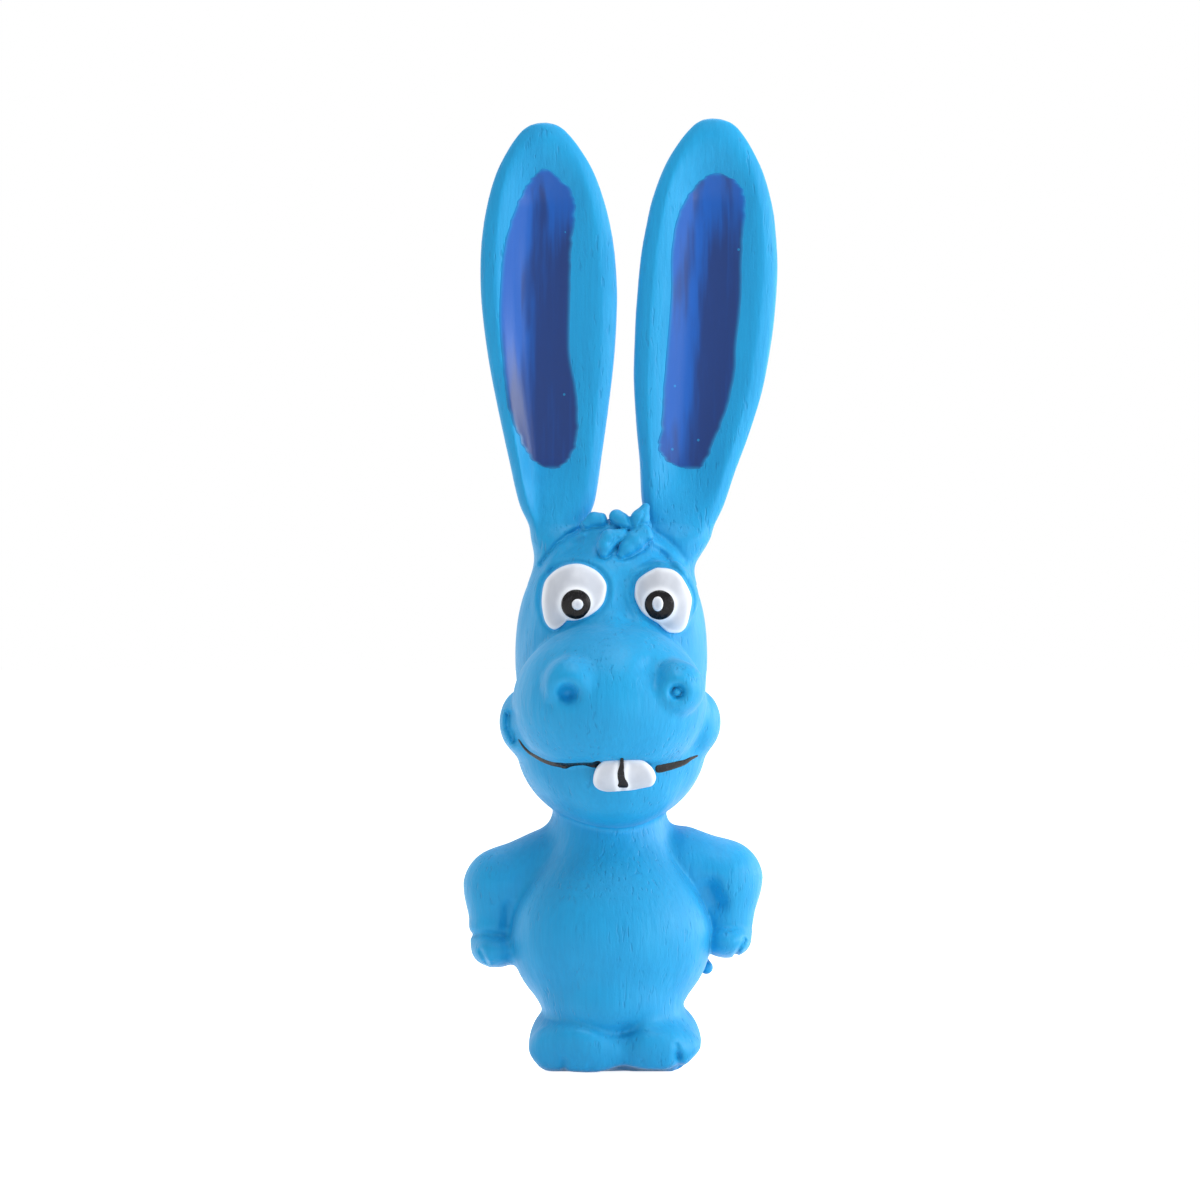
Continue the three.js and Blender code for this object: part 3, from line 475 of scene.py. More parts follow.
def rim_distance(x, z, eye):
    """How far a point of the front view is outside an eye's outline, along the line from its middle."""
    angle, radius = rim(eye["outline"], eye["half"])
    dx, dz = x - eye["middle"][0], z - eye["middle"][1]
    return np.hypot(dx, dz) - np.interp(np.arctan2(dz, dx), angle, radius, period=2 * np.pi)


def add_rounds(form, x, y, z, rounds):
    """Melts round forms into a form, one after another."""
    for middle, half, soft in rounds:
        form = merge(form, egg(x, y, z, middle, half), soft)
    return form


def muzzle_form(x, y, z):
    """The muzzle above its lip, with the nostrils' mounds and the pits pressed into them."""
    s = sizes()
    half = (s.muzzle_width / MM, s.muzzle_depth / MM, s.muzzle_height / MM)
    form = keep(egg(x, y, z, (HEAD_X - 0.4, -15, 85), half), curve(LIP, x) - z, 2.4)
    form = add_rounds(form, x, y, z, NOSTRIL_MOUNDS)
    for middle, pit, soft in NOSTRIL_PITS:
        form = keep(form, -egg(x, y, z, middle, pit), soft)
    return add_rounds(form, x, y, z, [NOSTRIL_LUMP])


def add_eyes(form, x, y, z):
    """A dome behind each eye. The white's bed stands 0.3 mm out; round it runs a groove, and outside
    the groove a raised lid, both stronger above the eye."""
    for eye in EYES.values():
        form = merge(form, egg(x, y, z, eye["dome"], (7.6, 6.8, 8.4)), 1.5)
        near = (np.abs(x - eye["middle"][0]) < 11) & (np.abs(z - eye["middle"][1]) < 12) & (y < -1)
        if near.any():
            out = rim_distance(x[near], z[near], eye)
            above = step(z[near], eye["middle"][1] - 6, eye["middle"][1] + 1)
            form[near] -= 0.3 * step(-out, -0.3, 0.5)
            form[near] += (0.12 + 0.12 * above) * np.exp(-(((out - 0.5) / 0.4) ** 2))
            form[near] -= (0.06 + 0.3 * above) * np.exp(-(((out - 1.7) / 0.75) ** 2))
    return form


def add_forelock(form, x, y, z):
    """A tuft on the crown with the locks laid on it, each in a groove half a millimetre deep."""
    near = (z > 112) & (np.abs(x) < 14) & (y < 4)
    if near.any():
        px, py, pz = x[near], y[near], z[near]
        hair = merge(form[near], egg(px, py, pz, (1.6, -2.4, 120.4), (8.6, 6.4, 5.7)), 2.5)
        hair = merge(hair, limb(px, py, pz, (-6, -3, 125.1), (6.5, -4, 125.6), 2.2, 2.5), 2)
        for chain in LOCKS:
            lock = np.full(px.shape, FAR)
            for (start, start_radius), (end, end_radius) in zip(chain[:-1], chain[1:]):
                lock = merge(lock, limb(px, py, pz, start, end, start_radius, end_radius), 0.4)
            hair = merge(hair + 0.5 * np.exp(-((lock / 0.8) ** 2)), lock, 0.4)
        form[near] = hair
    return form


def head_form(x, y, z):
    """Skull, crown, jaw, chin and cheeks, the muzzle, eyes on their domes, and the forelock. The
    muzzle melts in more softly at the bridge of the nose."""
    wide = sizes().head_width / MM
    form = merge(
        egg(x, y, z, (HEAD_X, 3, 92), (wide, 20, 24)),
        egg(x, y, z, (HEAD_X, 3, 106), (wide - 2, 17, 19)),
        8,
    )
    form = add_rounds(form, x, y, z, HEAD_ROUNDS)
    bridge = np.exp(-(((x - 1.5) / 7.5) ** 2)) * step(z, 92, 98)
    form = merge(form, muzzle_form(x, y, z), 1.3 + 5 * bridge)
    return add_forelock(add_eyes(form, x, y, z), x, y, z)


# Ears

# Of each ear: the hinge's place, the share by which it narrows below the hinge, the share of the lighter
# navy that the wall of its hollow at lower X keeps near its root (painted light where that wall faces the
# lamps, in part paint laid more thinly), its lean and its bow; then, along it, where the valley of its
# hollow lies and its half width as a share of the widest; and the outline of its paint in the front view
EARS = {
    "right": {
        "place": (-12.6, 4, 122.5),
        "root": 0.2,
        "lit_and_thin": 0.12,
        "lean": math.radians(-2.2),
        "bow": 0.0,
        "valley": [(0, -3.6), (0.25, -3.9), (0.43, -4.1), (0.6, -3), (0.735, -1.6), (1, -0.8)],
        "widths": [
            (0, 0.41), (0.035, 0.42), (0.09, 0.55), (0.2, 0.68), (0.32, 0.81), (0.44, 0.92),
            (0.56, 0.985), (0.64, 0.99), (0.72, 0.955), (0.8, 0.865), (0.88, 0.71), (0.94, 0.51),
            (0.98, 0.32), (0.995, 0.19), (1, 0.1),
        ],
        "paint": [
            (-15.4, 208.3), (-9.5, 203), (-8.7, 197.4), (-9.5, 190.5), (-9.7, 183.5), (-10, 169.7),
            (-9.7, 164.1), (-8.3, 156.5), (-8, 148.2), (-9.2, 142.7), (-12.3, 139.3), (-15.7, 139.3),
            (-19.2, 141.6), (-22, 146.8), (-24.4, 153.7), (-25.6, 164.1), (-26.3, 173.8),
            (-25.9, 183.5), (-25.1, 190.5), (-23.5, 196.7), (-21.3, 202.2), (-18.9, 206),
        ],
    },
    "left": {
        "place": (14.8, 4, 122.5),
        "root": 0.48,
        "lit_and_thin": 0.75,
        "lean": math.radians(5.4),
        "bow": 1.6,
        "valley": [(0, -0.4), (0.25, -0.5), (0.53, -0.9), (0.78, -1.3), (1, -1)],
        "widths": [
            (0, 0.5), (0.035, 0.5), (0.09, 0.6), (0.175, 0.7), (0.26, 0.82), (0.37, 0.94),
            (0.48, 0.995), (0.55, 1.01), (0.66, 1), (0.74, 0.945), (0.8, 0.88), (0.88, 0.72),
            (0.94, 0.52), (0.98, 0.33), (0.995, 0.2), (1, 0.1),
        ],
        "paint": [
            (24.5, 207.4), (28.3, 205.7), (30.3, 202.9), (30.7, 198.8), (30, 190.5), (29.7, 178),
            (28.6, 167.6), (28.3, 161.4), (26.5, 153.1), (23.8, 146.1), (21, 139.9), (18.6, 138.9),
            (15.6, 139.3), (12.3, 140.9), (10.4, 144.1), (11.1, 148.2), (11.6, 157.2),
            (12.5, 167.6), (13.4, 179.4), (13.4, 187.7), (14.4, 195.3), (16.1, 200.1), (18.9, 204.3),
            (21.7, 206.7),
        ],
    },
}
# The ear's thickness along it, as a share of the full one
EAR_THICKNESS = [
    (-0.1, 1.5), (0, 1.36), (0.04, 1.02), (0.12, 0.98), (0.6, 0.93), (0.86, 0.8), (0.95, 0.6), (1, 0.3),
]


def ear_length(side):
    """The length of an ear from its hinge to its tip."""
    return (sizes().right_ear if side == "right" else sizes().left_ear) / MM


def ear_place(side, x, z):
    """Across and along the ear, in its own frame: the hinge at zero, and turned by its lean."""
    ear = EARS[side]
    dx, dz = x - ear["place"][0], z - ear["place"][2]
    c, s = math.cos(ear["lean"]), math.sin(ear["lean"])
    along = dx * s + dz * c
    bow = ear["bow"] * np.sin(np.pi * np.clip(along / ear_length(side), 0, 1))
    return dx * c - dz * s - bow, along


def ear_form(x, y, z, side):
    """A leaf: the squares of across over width and of depth over thickness add up to one at its
    skin. Its middle sheet is cupped forward, and a hollow is pressed into its front: one less the square
    of the share of the way from the valley to the rim, to the power 1.4."""
    s = sizes()
    across, along = ear_place(side, x, z)
    length = ear_length(side)
    share = along / length
    wide = s.ear_width / MM * curve(EARS[side]["widths"], np.clip(share, 0, 1))
    wide = wide * (1 - EARS[side]["root"] * step(-along, -3, 8))
    thick = s.ear_thickness / MM * curve(EAR_THICKNESS, share)
    swell = np.sin(np.pi * np.clip(share, 0, 1))
    a = across / wide
    middle = 4 + 0.4 * swell * (1 / 3 - np.minimum(a * a, 1.5))
    b = (y - middle) / thick
    total = np.hypot(a, b)
    slope = np.hypot(a / wide, b / thick) / np.maximum(total, 1e-3)
    form = np.clip((total - 1) / np.maximum(slope, 0.05), -thick, 60)
    form = keep(form, np.maximum(along - length, -9 - along), 0.8)
    valley = curve(EARS[side]["valley"], share)
    reach = 0.8 * wide + np.where(across < valley, valley, -valley)
    u = (across - valley) / np.maximum(reach, 1)
    open_share = step(share, -0.02, 0.2) * (1 - step(share, 0.8, 0.985))
    depth = s.hollow_depth / MM * open_share * np.clip(1 - u * u, 0, 1) ** 1.4 * 0.88
    face = middle - thick * np.sqrt(np.clip(1 - a * a, 0, 1)) + depth
    pressed = keep(form, (face - y) * 0.85, 0.02 + 0.45 * np.minimum(depth, 1))
    return np.where(depth > 0, pressed, form)


def core_form(x, y, z, tail):
    """The stuffed part of the skin: the body and the head meet in a crease under the chin."""
    form = np.full(x.shape, FAR)
    low = z < 74
    if low.any():
        form[low] = body_form(x[low], y[low], z[low], tail)
    top = (z > 44) & (z < 140)
    if top.any():
        form[top] = merge(form[top], head_form(x[top], y[top], z[top]), 1.4)
    return form


def outer_form(core, x, y, z):
    """The core with the ears, which melt into the crown, and with a flat sole."""
    form = core.copy()
    for side in EARS:
        near = (z > 112) & ((x < 4) if side == "right" else (x > -4))
        if near.any():
            ear = ear_form(x[near], y[near], z[near], side)
            form[near] = merge(form[near], ear, 3.5 - 2.9 * step(z[near], 124, 130))
    form = mark(form, x, y, z, HEAD_MARKS)
    return keep(form, sole_lift(x, y) - z, 1.3)


def toy_form(x, y, z, tail):
    """The whole outside of the toy."""
    return outer_form(core_form(x, y, z, tail), x, y, z)


# The hole in the sole: its radius, and how high it reaches
HOLE_RADIUS, HOLE_TOP = 8, 4


def wall_form(x, y, z, tail):
    """The latex alone: the outer form, less the core shrunk by the wall, less the hole in the sole."""
    wall = sizes().wall / MM
    core = core_form(x, y, z, tail)
    cavity = np.maximum(core + wall, wall + sole_lift(x, y) - z)
    form = np.maximum(outer_form(core, x, y, z), -cavity)
    hole = np.maximum(np.hypot(x, y) - HOLE_RADIUS, z - HOLE_TOP)
    return keep(form, -hole, 0.3)


# Meshes


def sample_form(form, x, y, z, most=400000):
    """The form's value at points of any shape, some at a time."""
    flat = [np.ravel(v).astype(float) for v in (x, y, z)]
    out = np.empty(flat[0].shape)
    for start in range(0, len(out), most):
        part = slice(start, start + most)
        out[part] = form(*(v[part] for v in flat))
    return out.reshape(np.shape(x))


# Corners of a tetrahedron, round which a field's slope is measured
SPREAD = np.array([[1, -1, -1], [-1, -1, 1], [-1, 1, -1], [1, 1, 1]], float)


def gradient(form, points, reach=0.12):
    """Value and slope from four points round each one, at the corners of a small tetrahedron."""
    near = points[None] + reach * SPREAD[:, None]
    value = sample_form(form, near[..., 0], near[..., 1], near[..., 2])
    slope = np.einsum("kn,kc->nc", value, SPREAD) / (4 * reach)
    return value.mean(0), slope


# Cells along each side of a block of the grid
BLOCK = 8


def near_field(form, low, high, cell):
    """A field on a grid. Only blocks near the surface are worked out; the others are filled with a
    large value of the sign that the field has at their middle."""
    blocks = np.ceil((np.array(high) - low) / (cell * BLOCK)).astype(int)
    centre = [low[i] + (np.arange(blocks[i]) + 0.5) * BLOCK * cell for i in range(3)]
    coarse = sample_form(form, *np.meshgrid(*centre, indexing="ij"))
    field = np.sign(coarse) * 9
    for axis in range(3):
        field = np.repeat(field, BLOCK, axis)
    starts = np.nonzero(np.abs(coarse) < 1.5 * BLOCK * cell)
    offsets = np.meshgrid(*[np.arange(BLOCK)] * 3, indexing="ij")
    i, j, k = (start[:, None, None, None] * BLOCK + offset for start, offset in zip(starts, offsets))
    field[i, j, k] = sample_form(form, low[0] + i * cell, low[1] + j * cell, low[2] + k * cell)
    return field


def cell_points(field, inside, low, cell):
    """A point for each cell that the surface passes, the mean of the crossings on its twelve edges.
    Gives the points, and a grid with the number of each cell's point."""
    shape = np.array(field.shape)
    corners = [(a, b, c) for a in (0, 1) for b in (0, 1) for c in (0, 1)]
    count = np.zeros(shape - 1, np.uint8)
    for a, b, c in corners:
        count += inside[a : shape[0] - 1 + a, b : shape[1] - 1 + b, c : shape[2] - 1 + c]
    ci, cj, ck = np.nonzero((count > 0) & (count < 8))
    number = np.full(shape - 1, -1, np.int32)
    number[ci, cj, ck] = np.arange(len(ci))
    value = {q: field[ci + q[0], cj + q[1], ck + q[2]] for q in corners}
    total, hits = np.zeros((len(ci), 3)), np.zeros(len(ci))
    for axis in range(3):
        for p in corners:
            if p[axis]:
                continue
            q = tuple(1 if n == axis else p[n] for n in range(3))
            a, b = value[p], value[q]
            crossed = (a < 0) != (b < 0)
            share = np.where(crossed, a / np.where(crossed, a - b, 1), 0)
            spot = np.tile(np.array(p, float), (len(ci), 1))
            spot[:, axis] = share
            total += spot * crossed[:, None]
            hits += crossed
    return low + (np.stack([ci, cj, ck], 1) + total / hits[:, None]) * cell, number


def cell_faces(inside, number):
    """A face of four points round each edge of the grid that the surface crosses."""
    faces = []
    for axis in range(3):
        other = [n for n in range(3) if n != axis]
        first = [slice(None)] * 3
        second = [slice(None)] * 3
        first[axis], second[axis] = slice(0, -1), slice(1, None)
        cut = np.stack(np.nonzero(inside[tuple(first)] != inside[tuple(second)]), 1)
        for n in other:
            cut = cut[(cut[:, n] > 0) & (cut[:, n] < inside.shape[n] - 1)]
        ring = []
        for shift in ((-1, -1), (0, -1), (0, 0), (-1, 0)):
            spot = cut.copy()
            spot[:, other] += shift
            ring.append(number[tuple(spot.T)])
        ring = np.stack(ring, 1)
        flip = inside[tuple(cut.T)] == (axis == 1)
        ring[flip] = ring[flip][:, ::-1]
        faces.append(ring)
    return np.concatenate(faces)


def settle(form, points, cell):
    """Moves points onto the surface along the field's slope, three times by 0.6 of a cell at most."""
    for _ in range(3):
        height, slope = gradient(form, points)
        size = np.maximum((slope**2).sum(1), 0.04)
        move = -slope * (height / size)[:, None]
        far = np.maximum(np.linalg.norm(move, axis=1) / (0.6 * cell), 1)
        points = points + move / far[:, None]
    return points


def net(form, low, high, cell):
    """A closed surface where a field crosses zero: one point in each cell that the surface passes,
    and faces between them, each cut in two along its shorter diagonal."""
    low = np.array(low, float)
    field = near_field(form, low, high, cell)
    inside = field < 0
    points, number = cell_points(field, inside, low, cell)
    quads = cell_faces(inside, number)
    points = settle(form, points, cell)
    a, b, c, d = (points[quads[:, n]] for n in range(4))
    short = np.linalg.norm(a - c, axis=1) < np.linalg.norm(b - d, axis=1)
    one = np.where(short[:, None], quads[:, [0, 1, 2]], quads[:, [0, 1, 3]])
    two = np.where(short[:, None], quads[:, [0, 2, 3]], quads[:, [1, 2, 3]])
    return points, np.concatenate([one, two])


def divide(points, faces, normal, level):
    """Splits triangles along a plane. Gives the points, the triangles below it and above it, and the
    new edges on it, each in the order in which the triangle below goes round it."""
    height = points @ np.array(normal, float) - level
    height = np.where(np.abs(height) < 1e-7, 1e-7, height)
    up = height[faces] > 0
    lone_up = up.sum(1) == 1
    lone_down = up.sum(1) == 2
    crossed = lone_up | lone_down
    f, u = faces[crossed], up[crossed]
    lone = np.where(lone_up[crossed], u.argmax(1), (~u).argmax(1))
    row = np.arange(len(f))
    a, b, c = f[row, lone], f[row, (lone + 1) % 3], f[row, (lone + 2) % 3]
    edges = np.sort(np.concatenate([np.stack([a, b], 1), np.stack([a, c], 1)]), axis=1)
    unique, back = np.unique(edges, axis=0, return_inverse=True)
    back = back.ravel()
    ha, hb = height[unique[:, 0]], height[unique[:, 1]]
    share = (ha / (ha - hb))[:, None]
    fresh = points[unique[:, 0]] * (1 - share) + points[unique[:, 1]] * share
    ab, ac = len(points) + back[: len(f)], len(points) + back[len(f) :]
    points = np.concatenate([points, fresh])
    tip = np.stack([a, ab, ac], 1)
    rest = np.concatenate([np.stack([ab, b, c], 1), np.stack([ab, c, ac], 1)])
    tip_up = lone_up[crossed]
    rest_up = np.concatenate([tip_up, tip_up])
    all_up = up.all(1)
    none_up = ~up.any(1)
    below = np.concatenate([faces[none_up], tip[~tip_up], rest[rest_up]])
    above = np.concatenate([faces[all_up], tip[tip_up], rest[~rest_up]])
    seam = np.concatenate([np.stack([ab, ac], 1)[~tip_up], np.stack([ac, ab], 1)[tip_up]])
    return points, below, above, seam


def loops_of(seam):
    """The loops that a seam's edges make, the longest first, as lists of point numbers."""
    after = dict(seam.tolist())
    loops = []
    while after:
        start, spot = next(iter(after.items()))
        del after[start]
        loop = [start]
        while spot in after:
            loop.append(spot)
            spot = after.pop(spot)
        loops.append(loop)
    return sorted(loops, key=len, reverse=True)


def ring_cap(points, outer, inner):
    """The flat ring between two level loops, seen from above: both are put in the order of their
    angle, and each edge of one makes a triangle with the last point of the other before it."""
    middle = points[outer][:, :2].mean(0)
    turned = []
    for loop in (outer, inner):
        loop = np.array(loop)
        angle = np.arctan2(*(points[loop][:, :2] - middle).T[::-1])
        order = np.argsort(angle)
        turned.append((loop[order], angle[order]))
    (out, out_angle), (core, core_angle) = turned
    mate = core[np.searchsorted(core_angle, out_angle, side="left") - 1]
    first = np.stack([np.roll(out, 1), out, mate], 1)
    mate = out[np.searchsorted(out_angle, core_angle, side="right") - 1]
    second = np.stack([core, np.roll(core, 1), mate], 1)
    return np.concatenate([first, second])


def closed_skin(first, rings, last):
    """A closed surface over rings of points, from a first point to a last one."""
    rings = np.asarray(rings, float)
    rows, columns = rings.shape[:2]
    points = np.concatenate([[first], rings.reshape(-1, 3), [last]])
    at = 1 + np.arange(rows * columns).reshape(rows, columns)
    beside = np.roll(at, -1, axis=1)
    quads = np.stack([at[:-1], beside[:-1], beside[1:], at[1:]], -1).reshape(-1, 4)
    tips = np.concatenate(
        [
            np.stack([np.zeros(columns, int), beside[0], at[0]], 1),
            np.stack([np.full(columns, len(points) - 1), at[-1], beside[-1]], 1),
        ]
    )
    return points, quads, tips


def closed_ring(grid):
    """A surface that closes both ways, as a profile turned about an axis does."""
    grid = np.asarray(grid, float)
    rows, columns = grid.shape[:2]
    at = np.arange(rows * columns).reshape(rows, columns)
    beside, below = np.roll(at, -1, axis=1), np.roll(at, -1, axis=0)
    corner = np.roll(beside, -1, axis=0)
    return grid.reshape(-1, 3), np.stack([at, beside, corner, below], -1).reshape(-1, 4)


def volume(points, faces):
    """Six times the signed volume: above zero where the faces point outwards."""
    a, b, c = (points[faces[:, n]] for n in range(3))
    total = np.einsum("ij,ij->", a, np.cross(b, c))
    if faces.shape[1] == 4:
        d = points[faces[:, 3]]
        total += np.einsum("ij,ij->", a, np.cross(c, d))
    return total


def make_piece(name, points, face_sets, material, corner_normals=None):
    """A mesh object from points in millimetres and arrays of triangles or four-sided faces."""
    if sum(volume(points, faces) for faces in face_sets if len(faces)) < 0:
        face_sets = [faces[:, ::-1] for faces in face_sets]
    mesh = bpy.data.meshes.new(name)
    counts = np.concatenate([np.full(len(faces), faces.shape[1]) for faces in face_sets])
    corners = np.concatenate([faces.ravel() for faces in face_sets]).astype(np.int32)
    place = (np.asarray(points) * MM).astype(np.float32)
    mesh.vertices.add(len(place))
    mesh.vertices.foreach_set("co", place.ravel())
    mesh.loops.add(len(corners))
    mesh.loops.foreach_set("vertex_index", corners)
    mesh.polygons.add(len(counts))
    mesh.polygons.foreach_set("loop_start", (np.cumsum(counts) - counts).astype(np.int32))
    mesh.update(calc_edges=True)
    mesh.validate()
    mesh.polygons.foreach_set("use_smooth", np.ones(len(mesh.polygons), bool))
    held = mesh.attributes.new("place", "FLOAT_VECTOR", "POINT")
    held.data.foreach_set("vector", place.ravel())
    if corner_normals is not None and len(mesh.loops) == len(corner_normals):
        mesh.normals_split_custom_set(corner_normals)
    mesh.materials.append(material)
    piece = bpy.data.objects.new(name, mesh)
    bpy.context.scene.collection.objects.link(piece)
    return piece


def unit(vectors):
    """Vectors made one long."""
    return vectors / np.maximum(np.linalg.norm(vectors, axis=-1, keepdims=True), 1e-12)


def hold_values(piece, name, values):
    """Keeps a value at each point of a piece, for its material."""
    held = piece.data.attributes.new(name, "FLOAT", "POINT")
    held.data.foreach_set("value", np.asarray(values, np.float32))


# Finishes: shader groups that several materials share


def new_group(name, inputs, outputs):
    """A shader group with named sockets. Gives the tree, its input node and its output node."""
    tree = bpy.data.node_groups.new(name, "ShaderNodeTree")
    for label, kind, default in inputs:
        socket = tree.interface.new_socket(name=label, in_out="INPUT", socket_type=kind)
        if default is not None:
            socket.default_value = default
    for label, kind in outputs:
        tree.interface.new_socket(name=label, in_out="OUTPUT", socket_type=kind)
    return tree, tree.nodes.new("NodeGroupInput"), tree.nodes.new("NodeGroupOutput")


def node(tree, kind, inputs=None, **settings):
    """A node with its settings, and its inputs as values or as the sockets that feed them."""
    made = tree.nodes.new(kind)
    for name, value in settings.items():
        setattr(made, name, value)
    for key, value in (inputs or {}).items():
        if isinstance(value, bpy.types.NodeSocket):
            tree.links.new(value, made.inputs[key])
        else:
            made.inputs[key].default_value = value
    return made


def math_node(tree, operation, a, b=0.0, clamp=False):
    """The result of two values or sockets, kept between 0 and 1 where it is clamped."""
    return node(tree, "ShaderNodeMath", {0: a, 1: b}, operation=operation, use_clamp=clamp).outputs[0]


def times(tree, a, b):
    """The product of two values or sockets."""
    return math_node(tree, "MULTIPLY", a, b)


def plus(tree, a, b, clamp=False):
    """The sum of two values or sockets."""
    return math_node(tree, "ADD", a, b, clamp)


def rise(tree, value, low, high):
    """A smooth rise of a value from 0 at low to 1 at high."""
    made = node(
        tree,
        "ShaderNodeMapRange",
        {"Value": value, "From Min": low, "From Max": high},
        interpolation_type="SMOOTHSTEP",
    )
    return made.outputs["Result"]


def noise(tree, place, stretch, detail=2.0, roughness=0.5):
    """Cloudy noise on a place in metres, stretched so that one cloud is that many millimetres."""
    scale = tuple(1 / (MM * s) for s in stretch)
    mapped = node(tree, "ShaderNodeVectorMath", {0: place, 1: scale}, operation="MULTIPLY").outputs[0]
    made = node(
        tree,
        "ShaderNodeTexNoise",
        {"Vector": mapped, "Scale": 1.0, "Detail": detail, "Roughness": roughness},
    )
    return made.outputs["Fac"]


def clouds(tree, place, stretch, detail, low, high):
    """Cloudy noise that is 0 below one level and 1 above another."""
    return rise(tree, noise(tree, place, stretch, detail), low, high)


def mix_colour(tree, share, a, b):
    """The first colour where the share is 0 and the second where it is 1."""
    made = node(tree, "ShaderNodeMix", {"Factor": share}, data_type="RGBA")
    for socket, value in zip([s for s in made.inputs if s.type == "RGBA"][:2], (a, b)):
        if isinstance(value, bpy.types.NodeSocket):
            tree.links.new(value, socket)
        else:
            socket.default_value = (*value[:3], 1)
    return [s for s in made.outputs if s.type == "RGBA"][0]


def strokes_group():
    """Short upright strokes, as a brush leaves them in the mould: noise drawn out upwards, of which
    only the crests press in, and only where a wider noise lets them."""
    if "Upright strokes" in bpy.data.node_groups:
        return bpy.data.node_groups["Upright strokes"]
    names = ("Height", "Strokes", "Patches", "Streaks")
    tree, given, made = new_group(
        "Upright strokes",
        [("Place", "NodeSocketVector", None)],
        [(name, "NodeSocketFloat") for name in names],
    )
    place = given.outputs["Place"]
    fine = clouds(tree, place, (0.8, 0.8, 3.4), 1.0, 0.58, 0.76)
    strokes = times(tree, fine, clouds(tree, place, (7, 7, 11), 1.0, 0.4, 0.6))
    drawn = noise(tree, place, (1.5, 1.5, 9), 2.0)
    skin = noise(tree, place, (0.35, 0.35, 0.5), 2.0)
    height = plus(tree, times(tree, drawn, 1.2), times(tree, skin, 0.22))
    height = math_node(tree, "SUBTRACT", height, times(tree, strokes, 0.9))
    patches = noise(tree, place, (9, 9, 22), 3.0)
    streaks = clouds(tree, place, (0.6, 0.6, 15), 2.0, 0.35, 0.65)
    for name, value in zip(names, (height, strokes, patches, streaks)):
        tree.links.new(value, made.inputs[name])
    return tree


def specks_group():
    """Small dust specks and bubbles: round dots near the middles of some cells of a Voronoi pattern."""
    if "Specks" in bpy.data.node_groups:
        return bpy.data.node_groups["Specks"]
    tree, given, made = new_group(
        "Specks",
        [
            ("Place", "NodeSocketVector", None),
            ("Spacing", "NodeSocketFloat", 4.0),
            ("Size", "NodeSocketFloat", 0.1),
        ],
        [("Specks", "NodeSocketFloat")],
    )
    scale = math_node(tree, "DIVIDE", 1 / MM, given.outputs["Spacing"])
    cells = node(tree, "ShaderNodeTexVoronoi", {"Vector": given.outputs["Place"], "Scale": scale})
    inside = math_node(tree, "LESS_THAN", cells.outputs["Distance"], given.outputs["Size"])
    some = node(tree, "ShaderNodeSeparateColor", {"Color": cells.outputs["Color"]})
    chosen = math_node(tree, "GREATER_THAN", some.outputs[0], 0.72)
    tree.links.new(times(tree, inside, chosen), made.inputs["Specks"])
    return tree


def new_material(name, colour, **values):
    """A material with one surface shader. Gives the material, its tree and its shader."""
    material = bpy.data.materials.new(name)
    material.use_nodes = True
    material.diffuse_color = (*colour, 1)
    tree = material.node_tree
    tree.nodes.clear()
    shader = node(tree, "ShaderNodeBsdfPrincipled", {"Base Color": (*colour, 1)})
    for key, value in values.items():
        shader.inputs[key.replace("_", " ")].default_value = value
    out = node(tree, "ShaderNodeOutputMaterial")
    tree.links.new(shader.outputs[0], out.inputs["Surface"])
    return material, tree, shader


def own_place(tree):
    """The place of each point of a piece at rest, so that a pattern moves with the skin."""
    return node(tree, "ShaderNodeAttribute", attribute_name="place").outputs["Vector"]


def object_place(tree):
    """The place of each point in its own object."""
    return node(tree, "ShaderNodeTexCoord").outputs["Object"]


def held_value(tree, name):
    """The value that each point of a piece keeps under that name."""
    return node(tree, "ShaderNodeAttribute", attribute_name=name).outputs["Fac"]


def grouped(tree, group, inputs):
    """A shader group as a node."""
    return node(tree, "ShaderNodeGroup", inputs, node_tree=group)


def dress(tree, shader, colour, roughness):
    """Feeds a shader's colour and its roughness."""
    tree.links.new(colour, shader.inputs["Base Color"])
    tree.links.new(roughness, shader.inputs["Roughness"])


def press(tree, shader, height, depth, strength=1.0):
    """A bump of that many millimetres into the shader's normal."""
    bump = node(
        tree, "ShaderNodeBump", {"Height": height, "Distance": depth * MM, "Strength": strength}
    )
    tree.links.new(bump.outputs[0], shader.inputs["Normal"])


def latex_material():
    """Dyed latex: semi-matt, streaked a little in its colour, with fine upright strokes in the skin. The
    strokes that press in are also darkened in the colour, a painted shade in them.
    """
    if "Blue latex" in bpy.data.materials:
        return bpy.data.materials["Blue latex"]
    c, f = colours(), finish()
    material, tree, shader = new_material(
        "Blue latex", c.latex,
        Roughness=f.latex_roughness, Specular_IOR_Level=0.32, Sheen_Weight=0.08, Sheen_Roughness=0.4,
    )
    marks = grouped(tree, strokes_group(), {"Place": own_place(tree)})
    # Painted shade: the pressed-in strokes are darkened in the colour; the streaks are the latex's own
    # tone
    stroke_shade_and_streaks = times(tree, marks.outputs["Strokes"], 0.3)
    stroke_shade_and_streaks = plus(tree, stroke_shade_and_streaks, times(tree, marks.outputs["Streaks"], 0.14))
    mottle = rise(tree, marks.outputs["Patches"], 0.3, 0.7)
    shade = plus(tree, times(tree, mottle, 0.22), stroke_shade_and_streaks, clamp=True)
    rough = plus(tree, times(tree, mottle, 0.12), f.latex_roughness - 0.06)
    dress(tree, shader, mix_colour(tree, shade, c.latex, c.latex_shade), rough)
    press(tree, shader, marks.outputs["Height"], 0.16, f.strokes)
    return material


